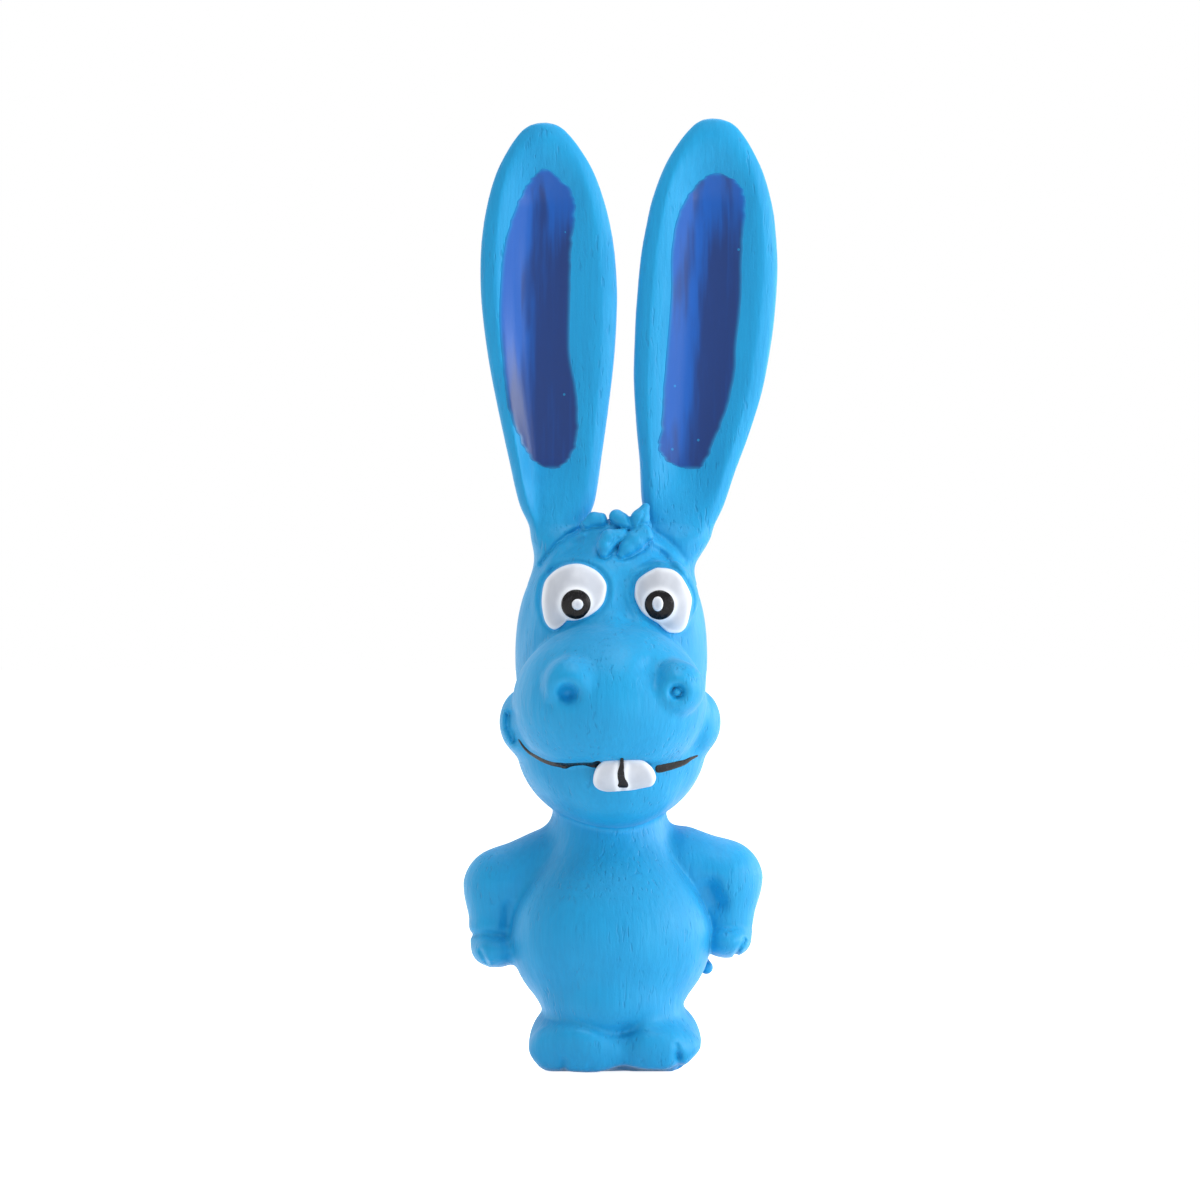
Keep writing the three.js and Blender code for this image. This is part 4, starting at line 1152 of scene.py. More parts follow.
def navy_material():
    """Brushed navy paint: streaks along the ear; a lighter navy on the wall of the hollow at lower X and
    towards the top, which is a painted light where that wall faces the lamps and in part paint laid more
    thinly; and a few specks.
    """
    if "Navy paint" in bpy.data.materials:
        return bpy.data.materials["Navy paint"]
    c, f = colours(), finish()
    material, tree, shader = new_material(
        "Navy paint", c.navy, Roughness=f.paint_roughness, Specular_IOR_Level=0.32
    )
    place = own_place(tree)
    streak = clouds(tree, place, (1.6, 1.6, 24), 3.0, 0.35, 0.7)
    wide = clouds(tree, place, (5, 5, 24), 2.0, 0.3, 0.62)
    # Painted light: the held mask lightens the wall of the hollow that faces the lamps, along with paint
    # laid more thinly
    lit_side_and_brush = times(tree, held_value(tree, "lit_and_thin"), plus(tree, wide, 0.35))
    lit_side_and_brush = plus(tree, lit_side_and_brush, times(tree, streak, 0.34))
    colour = mix_colour(tree, rise(tree, lit_side_and_brush, 0.1, 1.15), c.navy, c.navy_lit_and_thin)
    dots = grouped(tree, specks_group(), {"Place": place, "Spacing": 5.0, "Size": 0.06}).outputs[0]
    colour = mix_colour(tree, times(tree, dots, 0.5), colour, c.latex)
    colour = mix_colour(tree, times(tree, held_value(tree, "edge"), 0.5), colour, c.latex)
    dress(tree, shader, colour, plus(tree, times(tree, streak, 0.1), f.paint_roughness - 0.05))
    press(tree, shader, plus(tree, times(tree, streak, 0.5), dots), 0.04, 0.5)
    return material


def white_material():
    """White paint of the eyes and teeth: greyer in the middle, and brighter near its edges, where the
    paint lies thicker and where a painted highlight stands for the light that its raised edge catches.
    """
    if "White paint" in bpy.data.materials:
        return bpy.data.materials["White paint"]
    c = colours()
    material, tree, shader = new_material("White paint", c.white, Roughness=0.38, Specular_IOR_Level=0.4)
    place = own_place(tree)
    cloud = clouds(tree, place, (3, 3, 5), 3.0, 0.3, 0.7)
    # Painted highlight in part: the edges are mixed towards the brighter white
    bright = plus(tree, held_value(tree, "edge"), times(tree, cloud, 0.2), clamp=True)
    rough = plus(tree, times(tree, cloud, 0.1), 0.33)
    dress(tree, shader, mix_colour(tree, bright, c.white, c.white_edge), rough)
    press(tree, shader, noise(tree, place, (0.9, 0.9, 1.6), 3.0), 0.07, 0.5)
    return material


def black_material():
    """Glossy black paint with a few scuffs."""
    if "Black paint" in bpy.data.materials:
        return bpy.data.materials["Black paint"]
    c = colours()
    material, tree, shader = new_material("Black paint", c.black, Roughness=0.3, Specular_IOR_Level=0.2)
    place = own_place(tree)
    scuff = times(tree, clouds(tree, place, (0.5, 0.5, 0.9), 3.0, 0.5, 0.75), 0.2)
    dress(tree, shader, mix_colour(tree, scuff, c.black, c.black_scuff), plus(tree, scuff, 0.24))
    press(tree, shader, noise(tree, place, (0.6, 0.6, 0.6), 2.0), 0.05, 0.4)
    return material


def fibre_material():
    """Polyester fibre: matt, with fine crossing strands in its bump, a soft sheen, and a painted shade
    that darkens the dips of the bump.
    """
    c = colours()
    material, tree, shader = new_material(
        "Polyester fibre", c.fibre, Roughness=0.92, Sheen_Weight=0.5, Sheen_Roughness=0.6
    )
    place = own_place(tree)
    strands = noise(tree, place, (0.25, 1.6, 0.25), 4.0, 0.7)
    crossing = noise(tree, place, (1.5, 0.25, 0.3), 4.0, 0.7)
    tuft = noise(tree, place, (4, 4, 4), 3.0)
    height = plus(tree, plus(tree, strands, crossing), tuft)
    # Painted shade: lower places of the bump are darker
    colour = mix_colour(tree, rise(tree, height, 1.1, 1.9), c.fibre_shade, c.fibre)
    tree.links.new(colour, shader.inputs["Base Color"])
    press(tree, shader, height, 0.5, 0.8)
    return material


def vinyl_material(name, colour, roughness, cloud_size, source):
    """Moulded plastic: clouds in its colour and gloss, and a faint grain."""
    material, tree, shader = new_material(name, colour, Roughness=roughness)
    place = source(tree)
    cloud = clouds(tree, place, (cloud_size,) * 3, 3.0, 0.3, 0.7)
    darker = tuple(v * 0.78 for v in colour)
    rough = plus(tree, times(tree, cloud, 0.15), roughness - 0.07)
    dress(tree, shader, mix_colour(tree, cloud, darker, colour), rough)
    press(tree, shader, noise(tree, place, (0.4,) * 3, 2.0), 0.05, 0.5)
    return material


# Pieces

# Where the skin is cut: heights of the neck and the ankles, and how far up the ear from its hinge
SEAMS = {"neck": 55.5, "ankle": 13.0, "ear": 3.0}
# How far the underside of a coat of paint is sunk into what it lies on
SINK = 0.25


def ear_axis(side):
    """The direction of an ear from its root to its tip."""
    lean = EARS[side]["lean"]
    return np.array([math.sin(lean), 0, math.cos(lean)])


def ear_bend(piece):
    """Bakes the place of a piece of an ear into its points."""
    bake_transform(piece)


def front_place(form, x, z, near=-50.0, far=16.0, stride=0.5):
    """Where a line going back from the front first meets a form: stepped, then halved."""
    x, z = np.broadcast_arrays(np.asarray(x, float), np.asarray(z, float))
    steps = np.arange(near, far, stride)
    y = steps.reshape(-1, *([1] * x.ndim))
    value = sample_form(form, *(np.broadcast_to(v, (len(steps), *x.shape)) for v in (x, y, z)))
    hit = value < 0
    first = np.where(hit.any(0), hit.argmax(0), len(steps) - 1)
    high = steps[first]
    low = high - stride
    for _ in range(14):
        middle = (low + high) / 2
        inside = sample_form(form, x, middle, z) < 0
        high, low = np.where(inside, middle, high), np.where(inside, low, middle)
    return high


def coat_points(form, x, z, lift):
    """Points of a coat of paint on the front of a form: its face, lifted along the form's slope, and
    its underside, sunk a little into it."""
    y = front_place(form, x, z)
    points = np.stack([x, y, z], -1)
    flat = points.reshape(-1, 3)
    _, slope = gradient(form, flat, 0.25)
    out = unit(slope).reshape(points.shape)
    return points + out * lift[..., None], points - out * SINK


def round_edge(inward, reach):
    """A quarter round: 0 at an edge, and 1 from that reach inside it."""
    return np.sqrt(np.clip(1 - (1 - np.clip(inward / reach, 0, 1)) ** 2, 0, 1))


def pad(name, form, loop, middle, lift, material, rings=12, rounding=0.5, inner_edge=None):
    """A coat inside a loop of the front view: rings from the middle to the loop, with a round edge.
    Its attribute "edge" is 1 at the loop and at the inner edge, which gives how far a place is from it."""
    shares = np.sin(np.linspace(0.06, 1, rings) * np.pi / 2)
    spread = np.asarray(loop) - middle
    size = np.linalg.norm(spread, axis=1)
    flat = np.asarray(middle) + shares[:, None, None] * spread
    inward = (1 - shares[:, None]) * size
    face, under = coat_points(form, flat[..., 0], flat[..., 1], lift * round_edge(inward, rounding))
    centre = np.asarray(middle, float)[None]
    top, bottom = coat_points(form, centre[:, 0], centre[:, 1], np.array([lift]))
    points, quads, tips = closed_skin(top[0], np.concatenate([face, under[::-1]]), bottom[0])
    piece = make_piece(name, points, [quads, tips], material)
    edge = np.exp(-((inward / 0.9) ** 2))
    if inner_edge is not None:
        edge = np.maximum(edge, np.exp(-((inner_edge(flat[..., 0], flat[..., 1]) / 0.7) ** 2)))
    hold_values(piece, "edge", np.concatenate([[0], edge.ravel(), edge[::-1].ravel(), [0]]))
    return piece


def round_loop(middle, radius, count=64):
    """A circle, or an ellipse where two radii are given."""
    angle = np.linspace(0, 2 * np.pi, count, endpoint=False)
    return np.asarray(middle) + radius * np.stack([np.cos(angle), np.sin(angle)], 1)


def ribbon(name, form, path, widths, height, material, count=90):
    """A painted line along a path of the front view: half a flattened round across it, sunk a little
    into the form below, and closed to a point at both ends."""
    line = smooth_path(path, count)
    t = np.linspace(0, 1, count)
    along = unit(np.gradient(line, axis=0))
    across = np.stack([-along[:, 1], along[:, 0]], 1)
    width = curve(widths, t) * np.sqrt(np.clip(1 - np.abs(2 * t - 1) ** 30, 0.0004, 1))
    turn = np.linspace(0, 2 * np.pi, 14, endpoint=False)
    flat = line[:, None] + across[:, None] * (width[:, None] * np.cos(turn))[..., None]
    y = front_place(form, flat[..., 0], flat[..., 1])
    lift = height * np.clip(width / width.max(), 0.5, 1)[:, None] * np.sin(turn)
    lift = np.where(lift < 0, -SINK, lift)
    points = np.stack([flat[..., 0], y - lift, flat[..., 1]], -1)
    ends = [points[0].mean(0), points[-1].mean(0)]
    points, quads, tips = closed_skin(ends[0], points, ends[1])
    return make_piece(name, points, [quads, tips], material)


def form_of_toy(kind=toy_form):
    """One of the forms above as a function of x, y and z alone."""
    tail = tail_path()
    return lambda x, y, z: kind(x, y, z, tail)


def skin_piece(name, points, faces, caps, slope, material):
    """A piece of the skin from some of its triangles and its flat caps. The skin's shading follows
    the form's own slope, so no seam shows, and a cap is flat."""
    used, back = np.unique(np.concatenate([faces, caps]), return_inverse=True)
    sides = (points[caps[:, n]] - points[caps[:, 0]] for n in (1, 2))
    flat = np.repeat(unit(np.cross(*sides)), 3, 0)
    normals = np.concatenate([slope[faces].reshape(-1, 3), flat])
    return make_piece(name, points[used], [back.reshape(-1, 3)], material, normals)


def cut_ear(points, top, side):
    """Cuts an ear off the head. Gives the points, the head's triangles and the ear's, and the fan of
    triangles that closes the head there."""
    ear, axis = EARS[side], ear_axis(side)
    points, low, high, seam = divide(points, top, axis, axis @ np.array(ear["place"]) + SEAMS["ear"])
    centre = points[high].mean(1)
    mine = np.zeros(len(high), bool)
    near = (centre[:, 2] > 120) & (np.abs(centre[:, 0] - ear["place"][0]) < 30)
    near &= (centre[:, 0] < 2.5) if side == "right" else (centre[:, 0] > 2.5)
    mine[near] = ear_form(*centre[near].T, side) < 1.0
    edge = seam[ear_form(*points[seam[:, 0]].T, side) < 1.2]
    middle = len(points)
    points = np.concatenate([points, points[edge[:, 0]].mean(0)[None]])
    fan = np.stack([edge[:, 1], edge[:, 0], np.full(len(edge), middle)], 1)
    return points, np.concatenate([low, high[~mine]]), high[mine], fan


class MakeSkin(bpy.types.Operator):
    """Makes the latex skin: head, body, feet and ears, cut from one surface where nothing bends"""

    bl_idname = "toy.make_skin"
    bl_label = "Latex skin"

    def execute(self, context):
        cell = sizes().grain / MM
        form = form_of_toy(wall_form)
        points, faces = net(form, (-37, -38, -1.5), (40.5, 26, 222), cell)
        parts = {}
        points, feet, rest, ankle = divide(points, faces, (0, 0, 1), SEAMS["ankle"])
        points, body, top, neck = divide(points, rest, (0, 0, 1), SEAMS["neck"])
        caps = {"feet": [], "body": [], "head": []}
        for seam, below, above in ((ankle, "feet", "body"), (neck, "body", "head")):
            loops = loops_of(seam)
            cap = ring_cap(points, loops[0], loops[1])
            caps[below].append(cap)
            caps[above].append(cap[:, ::-1])
        for side in EARS:
            points, top, ear, fan = cut_ear(points, top, side)
            caps["head"].append(fan)
            parts[f"{side}_ear_skin"] = (ear, fan[:, ::-1])
        parts["head_skin_latex"] = (top, np.concatenate(caps["head"]))
        parts["body_skin_latex"] = (body, np.concatenate(caps["body"]))
        parts["feet_skin_latex"] = (feet, np.concatenate(caps["feet"]))
        _, slope = gradient(form, points)
        slope = unit(slope)
        latex = latex_material()
        made = {name: skin_piece(name, points, *part, slope, latex) for name, part in parts.items()}
        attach(made["head_skin_latex"], "toy")
        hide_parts("head_skin", "forelock")
        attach(made["feet_skin_latex"], "toy")
        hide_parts("left_foot", "right_foot")
        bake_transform(made["body_skin_latex"])
        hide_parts("torso_skin", "left_arm", "right_arm", "tail")
        for side in EARS:
            ear_bend(made[f"{side}_ear_skin"])
            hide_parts(f"{side}_ear")
        return {"FINISHED"}


def brushed_loop(outline):
    """A loop through an outline, with the small waves that bristles leave at its sides."""
    loop = smooth_path(outline, 400, closed=True)
    turn = np.linspace(0, 2 * np.pi, len(loop), endpoint=False)
    wobble = 0.2 * np.sin(31 * turn) + 0.14 * np.sin(53 * turn + 1) + 0.1 * np.sin(83 * turn + 2)
    loop[:, 0] += wobble * np.cos(turn) ** 2
    return loop


def loop_sides(loop, heights):
    """X at given heights of the side of a loop that lies at lower X, and of its other side."""
    top, bottom = loop[:, 1].argmax(), loop[:, 1].argmin()
    walk = np.roll(loop, -top, axis=0)
    down = (bottom - top) % len(loop)
    halves = [walk[: down + 1], np.roll(walk, -down, axis=0)[: len(loop) - down + 1]]
    halves.sort(key=lambda half: half[:, 0].mean())
    sides = []
    for half in halves:
        order = np.argsort(half[:, 1])
        sides.append(np.interp(heights, half[order, 1], half[order, 0]))
    return sides


def loop_grid(loop):
    """A grid over a loop of the front view, closer at its edges: X, Z and the distance inwards."""
    low, high = loop[:, 1].min(), loop[:, 1].max()
    rows = (1 - np.cos(np.linspace(0.03, np.pi - 0.03, 150))) / 2
    columns = (1 - np.cos(np.linspace(0, np.pi, 34))) / 2
    z = low + rows * (high - low)
    left, right = loop_sides(loop, z)
    width = (right - left)[:, None]
    x = left[:, None] + width * columns
    inward = np.minimum(columns, 1 - columns) * width
    inward = np.minimum(inward, np.minimum(z - low, high - z)[:, None])
    return x, np.broadcast_to(z[:, None], x.shape), inward


class PaintEars(bpy.types.Operator):
    """Lays the navy paint in the hollow of each ear, between the edges that the brush left"""

    bl_idname = "toy.paint_ears"
    bl_label = "Ear paint"

    def execute(self, context):
        coat = sizes().coat / MM
        for side, ear in EARS.items():
            x, z, inward = loop_grid(brushed_loop(ear["paint"]))
            lift = coat * 0.4 * round_edge(inward, 0.9)
            face, under = coat_points(lambda a, b, c: ear_form(a, b, c, side), x, z, lift)
            rings = np.concatenate([face, under[:, ::-1]], 1)
            points, quads, tips = closed_skin(rings[0].mean(0), rings, rings[-1].mean(0))
            piece = make_piece(f"{side}_ear_navy", points, [quads, tips], navy_material())
            across, along = ear_place(side, x, z)
            share = along / ear_length(side)
            # Painted light: the wall of the hollow at lower X faces the lamps and is made a lighter navy;
            # the mask also stands for paint laid more thinly, more so towards the top
            lit = step(curve(ear["valley"], share) - across, -2.2, 2.8)
            lit_and_thin = lit * (ear["lit_and_thin"] + (1 - ear["lit_and_thin"]) * step(share, 0.3, 0.6))
            lit_and_thin = np.maximum(lit_and_thin, 0.8 * step(share, 0.64, 0.84))
            edge = np.exp(-((inward / 0.5) ** 2))
            for name, value, end in (("lit_and_thin", lit_and_thin, 0), ("edge", edge, 1)):
                both = np.concatenate([value, value[:, ::-1]], 1).ravel()
                hold_values(piece, name, np.concatenate([[end], both, [end]]))
            ear_bend(piece)
            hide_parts(f"{side}_ear_paint")
        return {"FINISHED"}


# Radius of a painted pupil
PUPIL_RADIUS = 3.4


class PaintEyes(bpy.types.Operator):
    """Makes the white of each eye, its pupil and the dot in the pupil, each a coat on the one below"""

    bl_idname = "toy.paint_eyes"
    bl_label = "Eyes"

    def execute(self, context):
        coat = sizes().coat / MM
        form = form_of_toy()
        for side, eye in EYES.items():
            middle, pupil = np.array(eye["middle"]), np.array(eye["pupil"])
            loop = smooth_path(np.array(eye["outline"]) * eye["half"], 96, closed=True) + middle
            white = pad(
                f"{side}_eye_enamel", form, loop, middle, coat, white_material(), 26, 0.8,
                lambda x, z: np.hypot(x - pupil[0], z - pupil[1]) - 3.5,
            )
            black = pad(
                f"{side}_pupil_enamel", form, round_loop(pupil, PUPIL_RADIUS), pupil, coat * 2.2,
                black_material(), 16, 0.9,
            )
            dot_middle = pupil + eye["dot"][0]
            dot = pad(
                f"{side}_pupil_dot", form, round_loop(dot_middle, eye["dot"][1]), dot_middle, coat * 3.1,
                white_material(), 10, 0.5,
            )
            for piece, old, slot in (
                (white, "eye_white", "white_paint"),
                (black, "pupil", "black_paint"),
                (dot, "eye_dot", "white_paint"),
            ):
                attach(piece, "toy")
                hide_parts(f"{side}_{old}")
        return {"FINISHED"}


# Outlines and lines of the mouth in the front view, as points of X and Z
TEETH_OUTLINE = [
    (-2.592, 71.524), (-1.629, 72.028), (0.801, 72.166), (3.415, 72.212), (6.12, 72.12),
    (8.023, 71.088), (9.284, 69.598), (9.788, 67.994), (9.192, 66.572), (8.023, 66.16),
    (6.12, 65.655), (3.988, 65.059), (1.81, 64.83), (-0.712, 64.876), (-2.362, 65.059),
    (-3.784, 65.747), (-4.517, 66.756), (-4.471, 68.337), (-3.784, 70.194),
]
TOOTH_LINE = [
    (2.039, 72.51), (1.97, 70.676), (1.787, 69.186), (1.879, 67.696), (2.246, 66.435),
    (2.269, 65.518),
]
MOUTH_RIGHT = [
    (-21.8, 76.6), (-20.7, 74.95), (-19.4, 73.6), (-17.8, 72.6), (-16.1, 71.7), (-14.1, 71), (-12.1, 70.7),
    (-11.05, 70.5), (-10, 70.7), (-8.7, 70.9), (-6.65, 71), (-4.95, 70.8), (-3.8, 70.9), (-2.75, 71.3),
]
MOUTH_LEFT = [
    (9.7, 69.8), (10.9, 69.9), (12.6, 70.25), (14.74, 70.8), (16.45, 71.3), (17.9, 72.1), (19.6, 72.8),
]
# Half widths along the lines: millimetres for the tooth line, shares of the mouth line's for the others
TOOTH_LINE_WIDTHS = [(0, 0.36), (0.2, 0.5), (0.45, 0.8), (0.65, 1.0), (0.85, 1.35), (1, 1.0)]
MOUTH_RIGHT_WIDTHS = [
    (0, 0.3), (0.2, 0.6), (0.4, 0.8), (0.54, 1.1), (0.65, 0.7), (0.77, 0.6), (0.92, 1.3), (1, 1),
]
MOUTH_LEFT_WIDTHS = [(0, 0.8), (0.1, 1.5), (0.5, 1.3), (0.7, 0.95), (1, 0.3)]


class PaintMouth(bpy.types.Operator):
    """Makes the pad of two front teeth, the line between them and the two lines of the mouth"""

    bl_idname = "toy.paint_mouth"
    bl_label = "Mouth"

    def execute(self, context):
        form = form_of_toy()
        coat, line, tooth = (v / MM for v in (sizes().coat, sizes().mouth_line, sizes().tooth_coat))

        def gum(x, y, z):
            """The jaw's front, standing out more towards the lip."""
            return egg(x, y, z, *JAW) - 0.6 - 2.6 * step(z, 64, 71)

        def tooth_face(x, y, z):
            """The face of the teeth, on which the line between them lies."""
            return gum(x, y, z) - tooth * 1.2

        loop = smooth_path(TEETH_OUTLINE, 96, closed=True)
        teeth = pad(
            "front_teeth", gum, loop, np.array((2.6, 67.6)), tooth, white_material(), 26, 1.6,
            lambda x, z: path_distance(x, z, TOOTH_LINE) - 1.1,
        )
        pieces = [teeth]
        for name, below, path, widths, scale, count in (
            ("tooth_line", tooth_face, TOOTH_LINE, TOOTH_LINE_WIDTHS, 1, 50),
            ("right_mouth_line", form, MOUTH_RIGHT, MOUTH_RIGHT_WIDTHS, line, 90),
            ("left_mouth_line", form, MOUTH_LEFT, MOUTH_LEFT_WIDTHS, line, 90),
        ):
            scaled = [(share, scale * width) for share, width in widths]
            pieces.append(ribbon(name, below, path, scaled, coat, black_material(), count))
        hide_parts("teeth")
        for piece in pieces:
            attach(piece, "toy")
        return {"FINISHED"}


# Height of the stuffing's underside, above the disc in the sole
STUFFING_FLOOR = 2.9
# Size of the cells that the stuffing is worked out in
WAD_GRAIN = 1.2


def stuffing_room(core, x, y, z):
    """The inside of the wall, less a small gap and with soft lumps, down to the disc in the sole."""
    gap = sizes().wall / MM + 0.35
    lump = np.sin(x * 1.3 + 2 * np.sin(z * 0.7)) * np.sin(y * 1.1 + z * 0.9) * np.sin(z * 1.2 + x * 0.4)
    inside = core(x, y, z) + gap + 0.5 + 0.5 * lump
    return np.maximum(inside, STUFFING_FLOOR + sole_lift(x, y) - z)


def squeaker_pocket(x, y, z):
    """The room that the squeaker takes: its front and back domes, the fold between, and the collar."""
    away = np.hypot(x - BODY_X, z - BELLY_Z)
    dome = egg(x, y, z, (BODY_X, -7.5, BELLY_Z), (13.8, 8.5, 13.8))
    back = egg(x, y, z, (BODY_X, 4, BELLY_Z), (13.8, 3.4, 13.8))
    fold = np.maximum(away - 13.6, np.maximum(-8 - y, y - 4.6))
    collar = np.maximum(away - 5.9, np.maximum(3 - y, y - 12.6))
    return np.minimum(np.minimum(dome, back), np.minimum(fold, collar))


class FillToy(bpy.types.Operator):
    """Stuffs the body and the head with wads of fibre that leave room for the squeaker"""

    bl_idname = "toy.fill"
    bl_label = "Stuffing"

    def execute(self, context):
        core = form_of_toy(core_form)

        def body_wad(x, y, z, beyond):
            """A wad on one side of an upright plane, up to the neck and round the squeaker."""
            part = np.maximum(beyond, np.maximum(STUFFING_FLOOR - z, z - 60))
            return keep(keep(stuffing_room(core, x, y, z), part, 1.5), -squeaker_pocket(x, y, z), 0.6)

        def front_wad(x, y, z):
            """The front half of the body's stuffing."""
            return body_wad(x, y, z, y + 4.2)

        def back_wad(x, y, z):
            """The back half of it."""
            return body_wad(x, y, z, -3.6 - y)

        def head_wad(x, y, z):
            """The wad that fills the head, above the neck."""
            return keep(stuffing_room(core, x, y, z), 60.5 - z, 1.5)

        fibre = fibre_material()
        for name, old, form, low, high in (
            ("front_fibre", "front_wad", front_wad, (-34, -24, 1), (34, -2, 62)),
            ("back_fibre", "back_wad", back_wad, (-34, -5, 1), (34, 22, 62)),
            ("head_fibre", "head_wad", head_wad, (-27, -36, 58), (27, 26, 126)),
        ):
            points, faces = net(form, low, high, WAD_GRAIN)
            piece = make_piece(name, points, [faces], fibre)
            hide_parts(old)
            if name == "front_fibre":
                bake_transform(piece)
            else:
                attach(piece, "toy")
        return {"FINISHED"}


def turned(name, outline, material, closed=False, count=96):
    """A profile of radius and place along Y, turned about the squeaker's axis. A closed profile makes
    a ring; an open one starts and ends on the axis."""
    profile = np.array(outline, float)
    angle = np.linspace(0, 2 * np.pi, count, endpoint=False)
    rings = np.stack(
        [
            BODY_X + profile[:, :1] * np.cos(angle),
            np.broadcast_to(profile[:, 1:], (len(profile), count)),
            BELLY_Z + profile[:, :1] * np.sin(angle),
        ],
        -1,
    )
    if closed:
        points, quads = closed_ring(rings)
        return make_piece(name, points, [quads], material)
    points, quads, tips = closed_skin(rings[0].mean(0), rings[1:-1], rings[-1].mean(0))
    return make_piece(name, points, [quads, tips], material)


# The bulb's dome, as shares of its radius and of its height
DOME = [
    (0, 0), (0.25, 0.012), (0.45, 0.05), (0.66, 0.14), (0.83, 0.3), (0.94, 0.52), (1, 0.82), (1, 1),
]


def sole_disc_form(x, y, z):
    """A round disc with a rounded edge, an air vent through it and a thin groove under it."""
    away = np.hypot(x, y)
    form = keep(away - 7.7, np.abs(z - 1) - 1, 0.5)
    vent = np.hypot(x - 4.5, y)
    form = keep(form, 1.25 - vent, 0.4)
    return form + 0.18 * np.exp(-(((away - 6.6) / 0.3) ** 2)) * (z < 1)


class MakeSqueaker(bpy.types.Operator):
    """Makes the vinyl bulb with its fold, dresses the reed in its tube, and makes the sole's disc"""

    bl_idname = "toy.make_squeaker"
    bl_label = "Squeaker"

    def execute(self, context):
        c = colours()
        vinyl = vinyl_material("Bulb vinyl", c.bulb, 0.45, 5, own_place)
        dome = np.array(DOME)
        outer = np.stack([13 * dome[:, 0], -15.5 + 7 * dome[:, 1]], 1)
        inner = np.stack([11.8 * dome[:, 0], -14.3 + 5.8 * dome[:, 1]], 1)[::-1]
        front = turned("bulb_front_vinyl", np.concatenate([outer, inner]), vinyl)
        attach(front, "bulb_front")
        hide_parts("bulb_front")
        along = np.linspace(-8.2, -1.2, 29)
        wave = 12.55 - 0.9 * (1 - np.cos((along + 8.2) / 3.5 * 2 * np.pi))
        fold_profile = np.concatenate([np.stack([wave, along], 1), np.stack([wave - 0.9, along], 1)[::-1]])
        fold = turned("bulb_fold_vinyl", fold_profile, vinyl, closed=True)
        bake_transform(fold)
        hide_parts("bulb_fold")
        back_dome = dome[2:]
        shell = np.stack([13 * back_dome[:, 0], 5.0 - 5.9 * back_dome[:, 1]], 1)[::-1]
        hollow = np.stack([11.8 * back_dome[:, 0], 3.8 - 4.7 * back_dome[:, 1]], 1)
        collar = [(5.2, 5.0), (5.2, 8.8), (5.0, 9.0), (4.2, 9.0), (4.0, 8.8), (4.0, 3.8)]
        back = turned("bulb_back_vinyl", np.concatenate([shell, collar, hollow[1:]]), vinyl, closed=True)
        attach(back, "toy")
        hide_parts("bulb_back")
        plastic = vinyl_material("Reed plastic", c.reed, 0.36, 3, object_place)
        for name in ("reed_tube", "reed_block", "reed"):
            mesh = frame["nodes"][name].data
            mesh.materials.clear()
            mesh.materials.append(plastic)
        points, faces = net(sole_disc_form, (-9, -9, -1), (9, 9, 3), 0.24)
        sole = make_piece("sole_disc", points, [faces], latex_material())
        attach(sole, "toy")
        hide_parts("base_disc")
        return {"FINISHED"}


# Stage

# Lamps: name, place and width in metres, and the share of the lamps' power. The strongest stand beside
# and behind the toy, as the walls of a light tent do.
LAMPS = [
    ("Right lamp", (1.15, -0.35, 0.4), 0.6, 0.31),
    ("Right wall", (1.0, 0.5, 0.3), 0.6, 0.18),
    ("Left wall", (-1.0, 0.5, 0.3), 0.7, 0.085),
    ("Top lamp", (0.1, -0.4, 1.2), 0.6, 0.2),
    ("Top wall", (0, 0.5, 1.1), 0.6, 0.16),
    ("Low lamp", (0.7, -0.9, 0.03), 0.3, 0.075),
]


# The camera's place in metres and its focal length in millimetres, and where the lamps aim
CAMERA_PLACE, LENS = (-0.0030, -3.0, 0.1086), 389.4
LAMP_AIM = (0, 0, 0.1)
# Half the floor's width in metres, how far below the soles it lies, and its glow where it is seen
FLOOR_REACH, FLOOR_DROP, FLOOR_GLOW = 30.0, 0.0002, 0.9


def area_lamp(name, place, size, watts):
    """A round soft lamp that shines on the toy."""
    data = bpy.data.lights.new(name, "AREA")
    data.shape = "DISK"
    data.size = size
    data.energy = watts
    lamp = bpy.data.objects.new(name, data)
    bpy.context.scene.collection.objects.link(lamp)
    lamp.location = place
    lamp.rotation_euler = (Vector(LAMP_AIM) - Vector(place)).to_track_quat("-Z", "Y").to_euler()


def seen_ray(tree):
    """1 for a ray from the camera or from a glossy or clear surface, 0 for one that lights the toy."""
    path = node(tree, "ShaderNodeLightPath")
    seen = math_node(tree, "MAXIMUM", path.outputs["Is Camera Ray"], path.outputs["Is Glossy Ray"])
    return math_node(tree, "MAXIMUM", seen, path.outputs["Is Transmission Ray"])


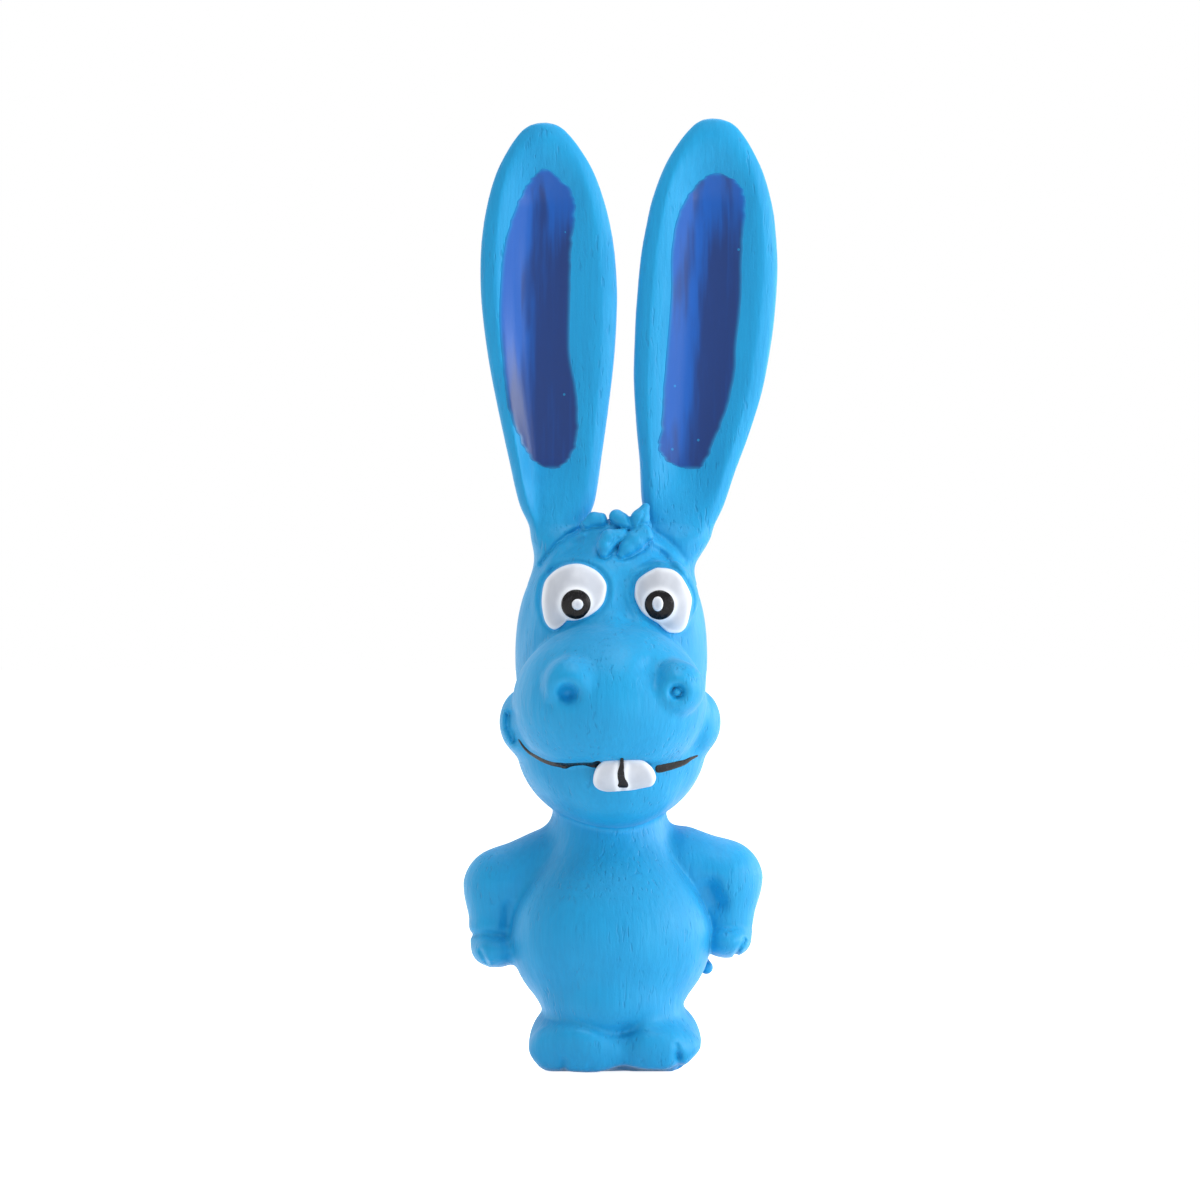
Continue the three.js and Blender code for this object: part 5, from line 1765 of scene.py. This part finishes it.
class SetStage(bpy.types.Operator):
    """Sets the camera, the soft lamps, the pale world and a wide flat pale floor"""

    bl_idname = "toy.set_stage"
    bl_label = "Stage"

    def execute(self, context):
        scene = context.scene
        c, f = colours(), finish()
        scene.view_settings.view_transform = "Standard"
        data = bpy.data.cameras.new("Camera")
        data.lens = LENS
        data.sensor_width = 36
        data.clip_end = 20
        camera = bpy.data.objects.new("Camera", data)
        scene.collection.objects.link(camera)
        camera.location = CAMERA_PLACE
        camera.rotation_euler = (math.pi / 2, 0, 0)
        scene.camera = camera
        for name, place, size, share in LAMPS:
            area_lamp(name, place, size, f.lamps * share)
        world = bpy.data.worlds.new("World")
        scene.world = world
        world.use_nodes = True
        tree = world.node_tree
        tree.nodes.clear()
        strength = plus(tree, times(tree, seen_ray(tree), 1 - f.ambience), f.ambience)
        light = node(tree, "ShaderNodeBackground", {"Color": (1, 1, 1, 1), "Strength": strength})
        out = node(tree, "ShaderNodeOutputWorld")
        tree.links.new(light.outputs[0], out.inputs[0])
        sides = ((-1, -1), (1, -1), (1, 1), (-1, 1))
        corners = [(x * FLOOR_REACH, y * FLOOR_REACH, -FLOOR_DROP) for x, y in sides]
        mesh = bpy.data.meshes.new("Floor")
        mesh.from_pydata(corners, [], [(0, 1, 2, 3)])
        material, tree, shader = new_material("Pale floor", c.floor, Roughness=0.9, Specular_IOR_Level=0)
        tree.links.new(times(tree, seen_ray(tree), FLOOR_GLOW), shader.inputs["Emission Strength"])
        shader.inputs["Emission Color"].default_value = (1, 1, 1, 1)
        mesh.materials.append(material)
        floor = bpy.data.objects.new("Floor", mesh)
        scene.collection.objects.link(floor)
        return {"FINISHED"}


class ToyPanel(bpy.types.Panel):
    """The steps that make the toy, with its sizes, colours and finishes"""

    bl_idname = "VIEW3D_PT_donkey_toy"
    bl_label = "Donkey toy"
    bl_space_type = "VIEW_3D"
    bl_region_type = "UI"
    bl_category = "Donkey toy"

    def draw(self, context):
        layout = self.layout
        for step_class in STEPS:
            layout.operator(step_class.bl_idname)
        for group in (sizes(), colours(), finish()):
            box = layout.box()
            for name in group.bl_rna.properties.keys():
                if name not in ("rna_type", "name"):
                    box.prop(group, name)


STEPS = (MakeSkin, PaintEars, PaintEyes, PaintMouth, FillToy, MakeSqueaker, SetStage)
GROUPS = (ToySizes, ToyColours, ToyFinish)


def register():
    """Registers the settings, the steps and the panel."""
    for item in (*GROUPS, *STEPS, ToyPanel):
        bpy.utils.register_class(item)
    bpy.types.Scene.toy_sizes = PointerProperty(type=ToySizes)
    bpy.types.Scene.toy_colours = PointerProperty(type=ToyColours)
    bpy.types.Scene.toy_finish = PointerProperty(type=ToyFinish)


def unregister():
    """Takes away what register adds."""
    for name in ("toy_sizes", "toy_colours", "toy_finish"):
        delattr(bpy.types.Scene, name)
    for item in reversed((*GROUPS, *STEPS, ToyPanel)):
        bpy.utils.unregister_class(item)


def main():
    """Builds the toy step by step."""
    register()
    bpy.ops.toy.make_skin()
    bpy.ops.toy.paint_ears()
    bpy.ops.toy.paint_eyes()
    bpy.ops.toy.paint_mouth()
    bpy.ops.toy.fill()
    bpy.ops.toy.make_squeaker()
    bpy.ops.toy.set_stage()


if __name__ == "__main__":
    main()
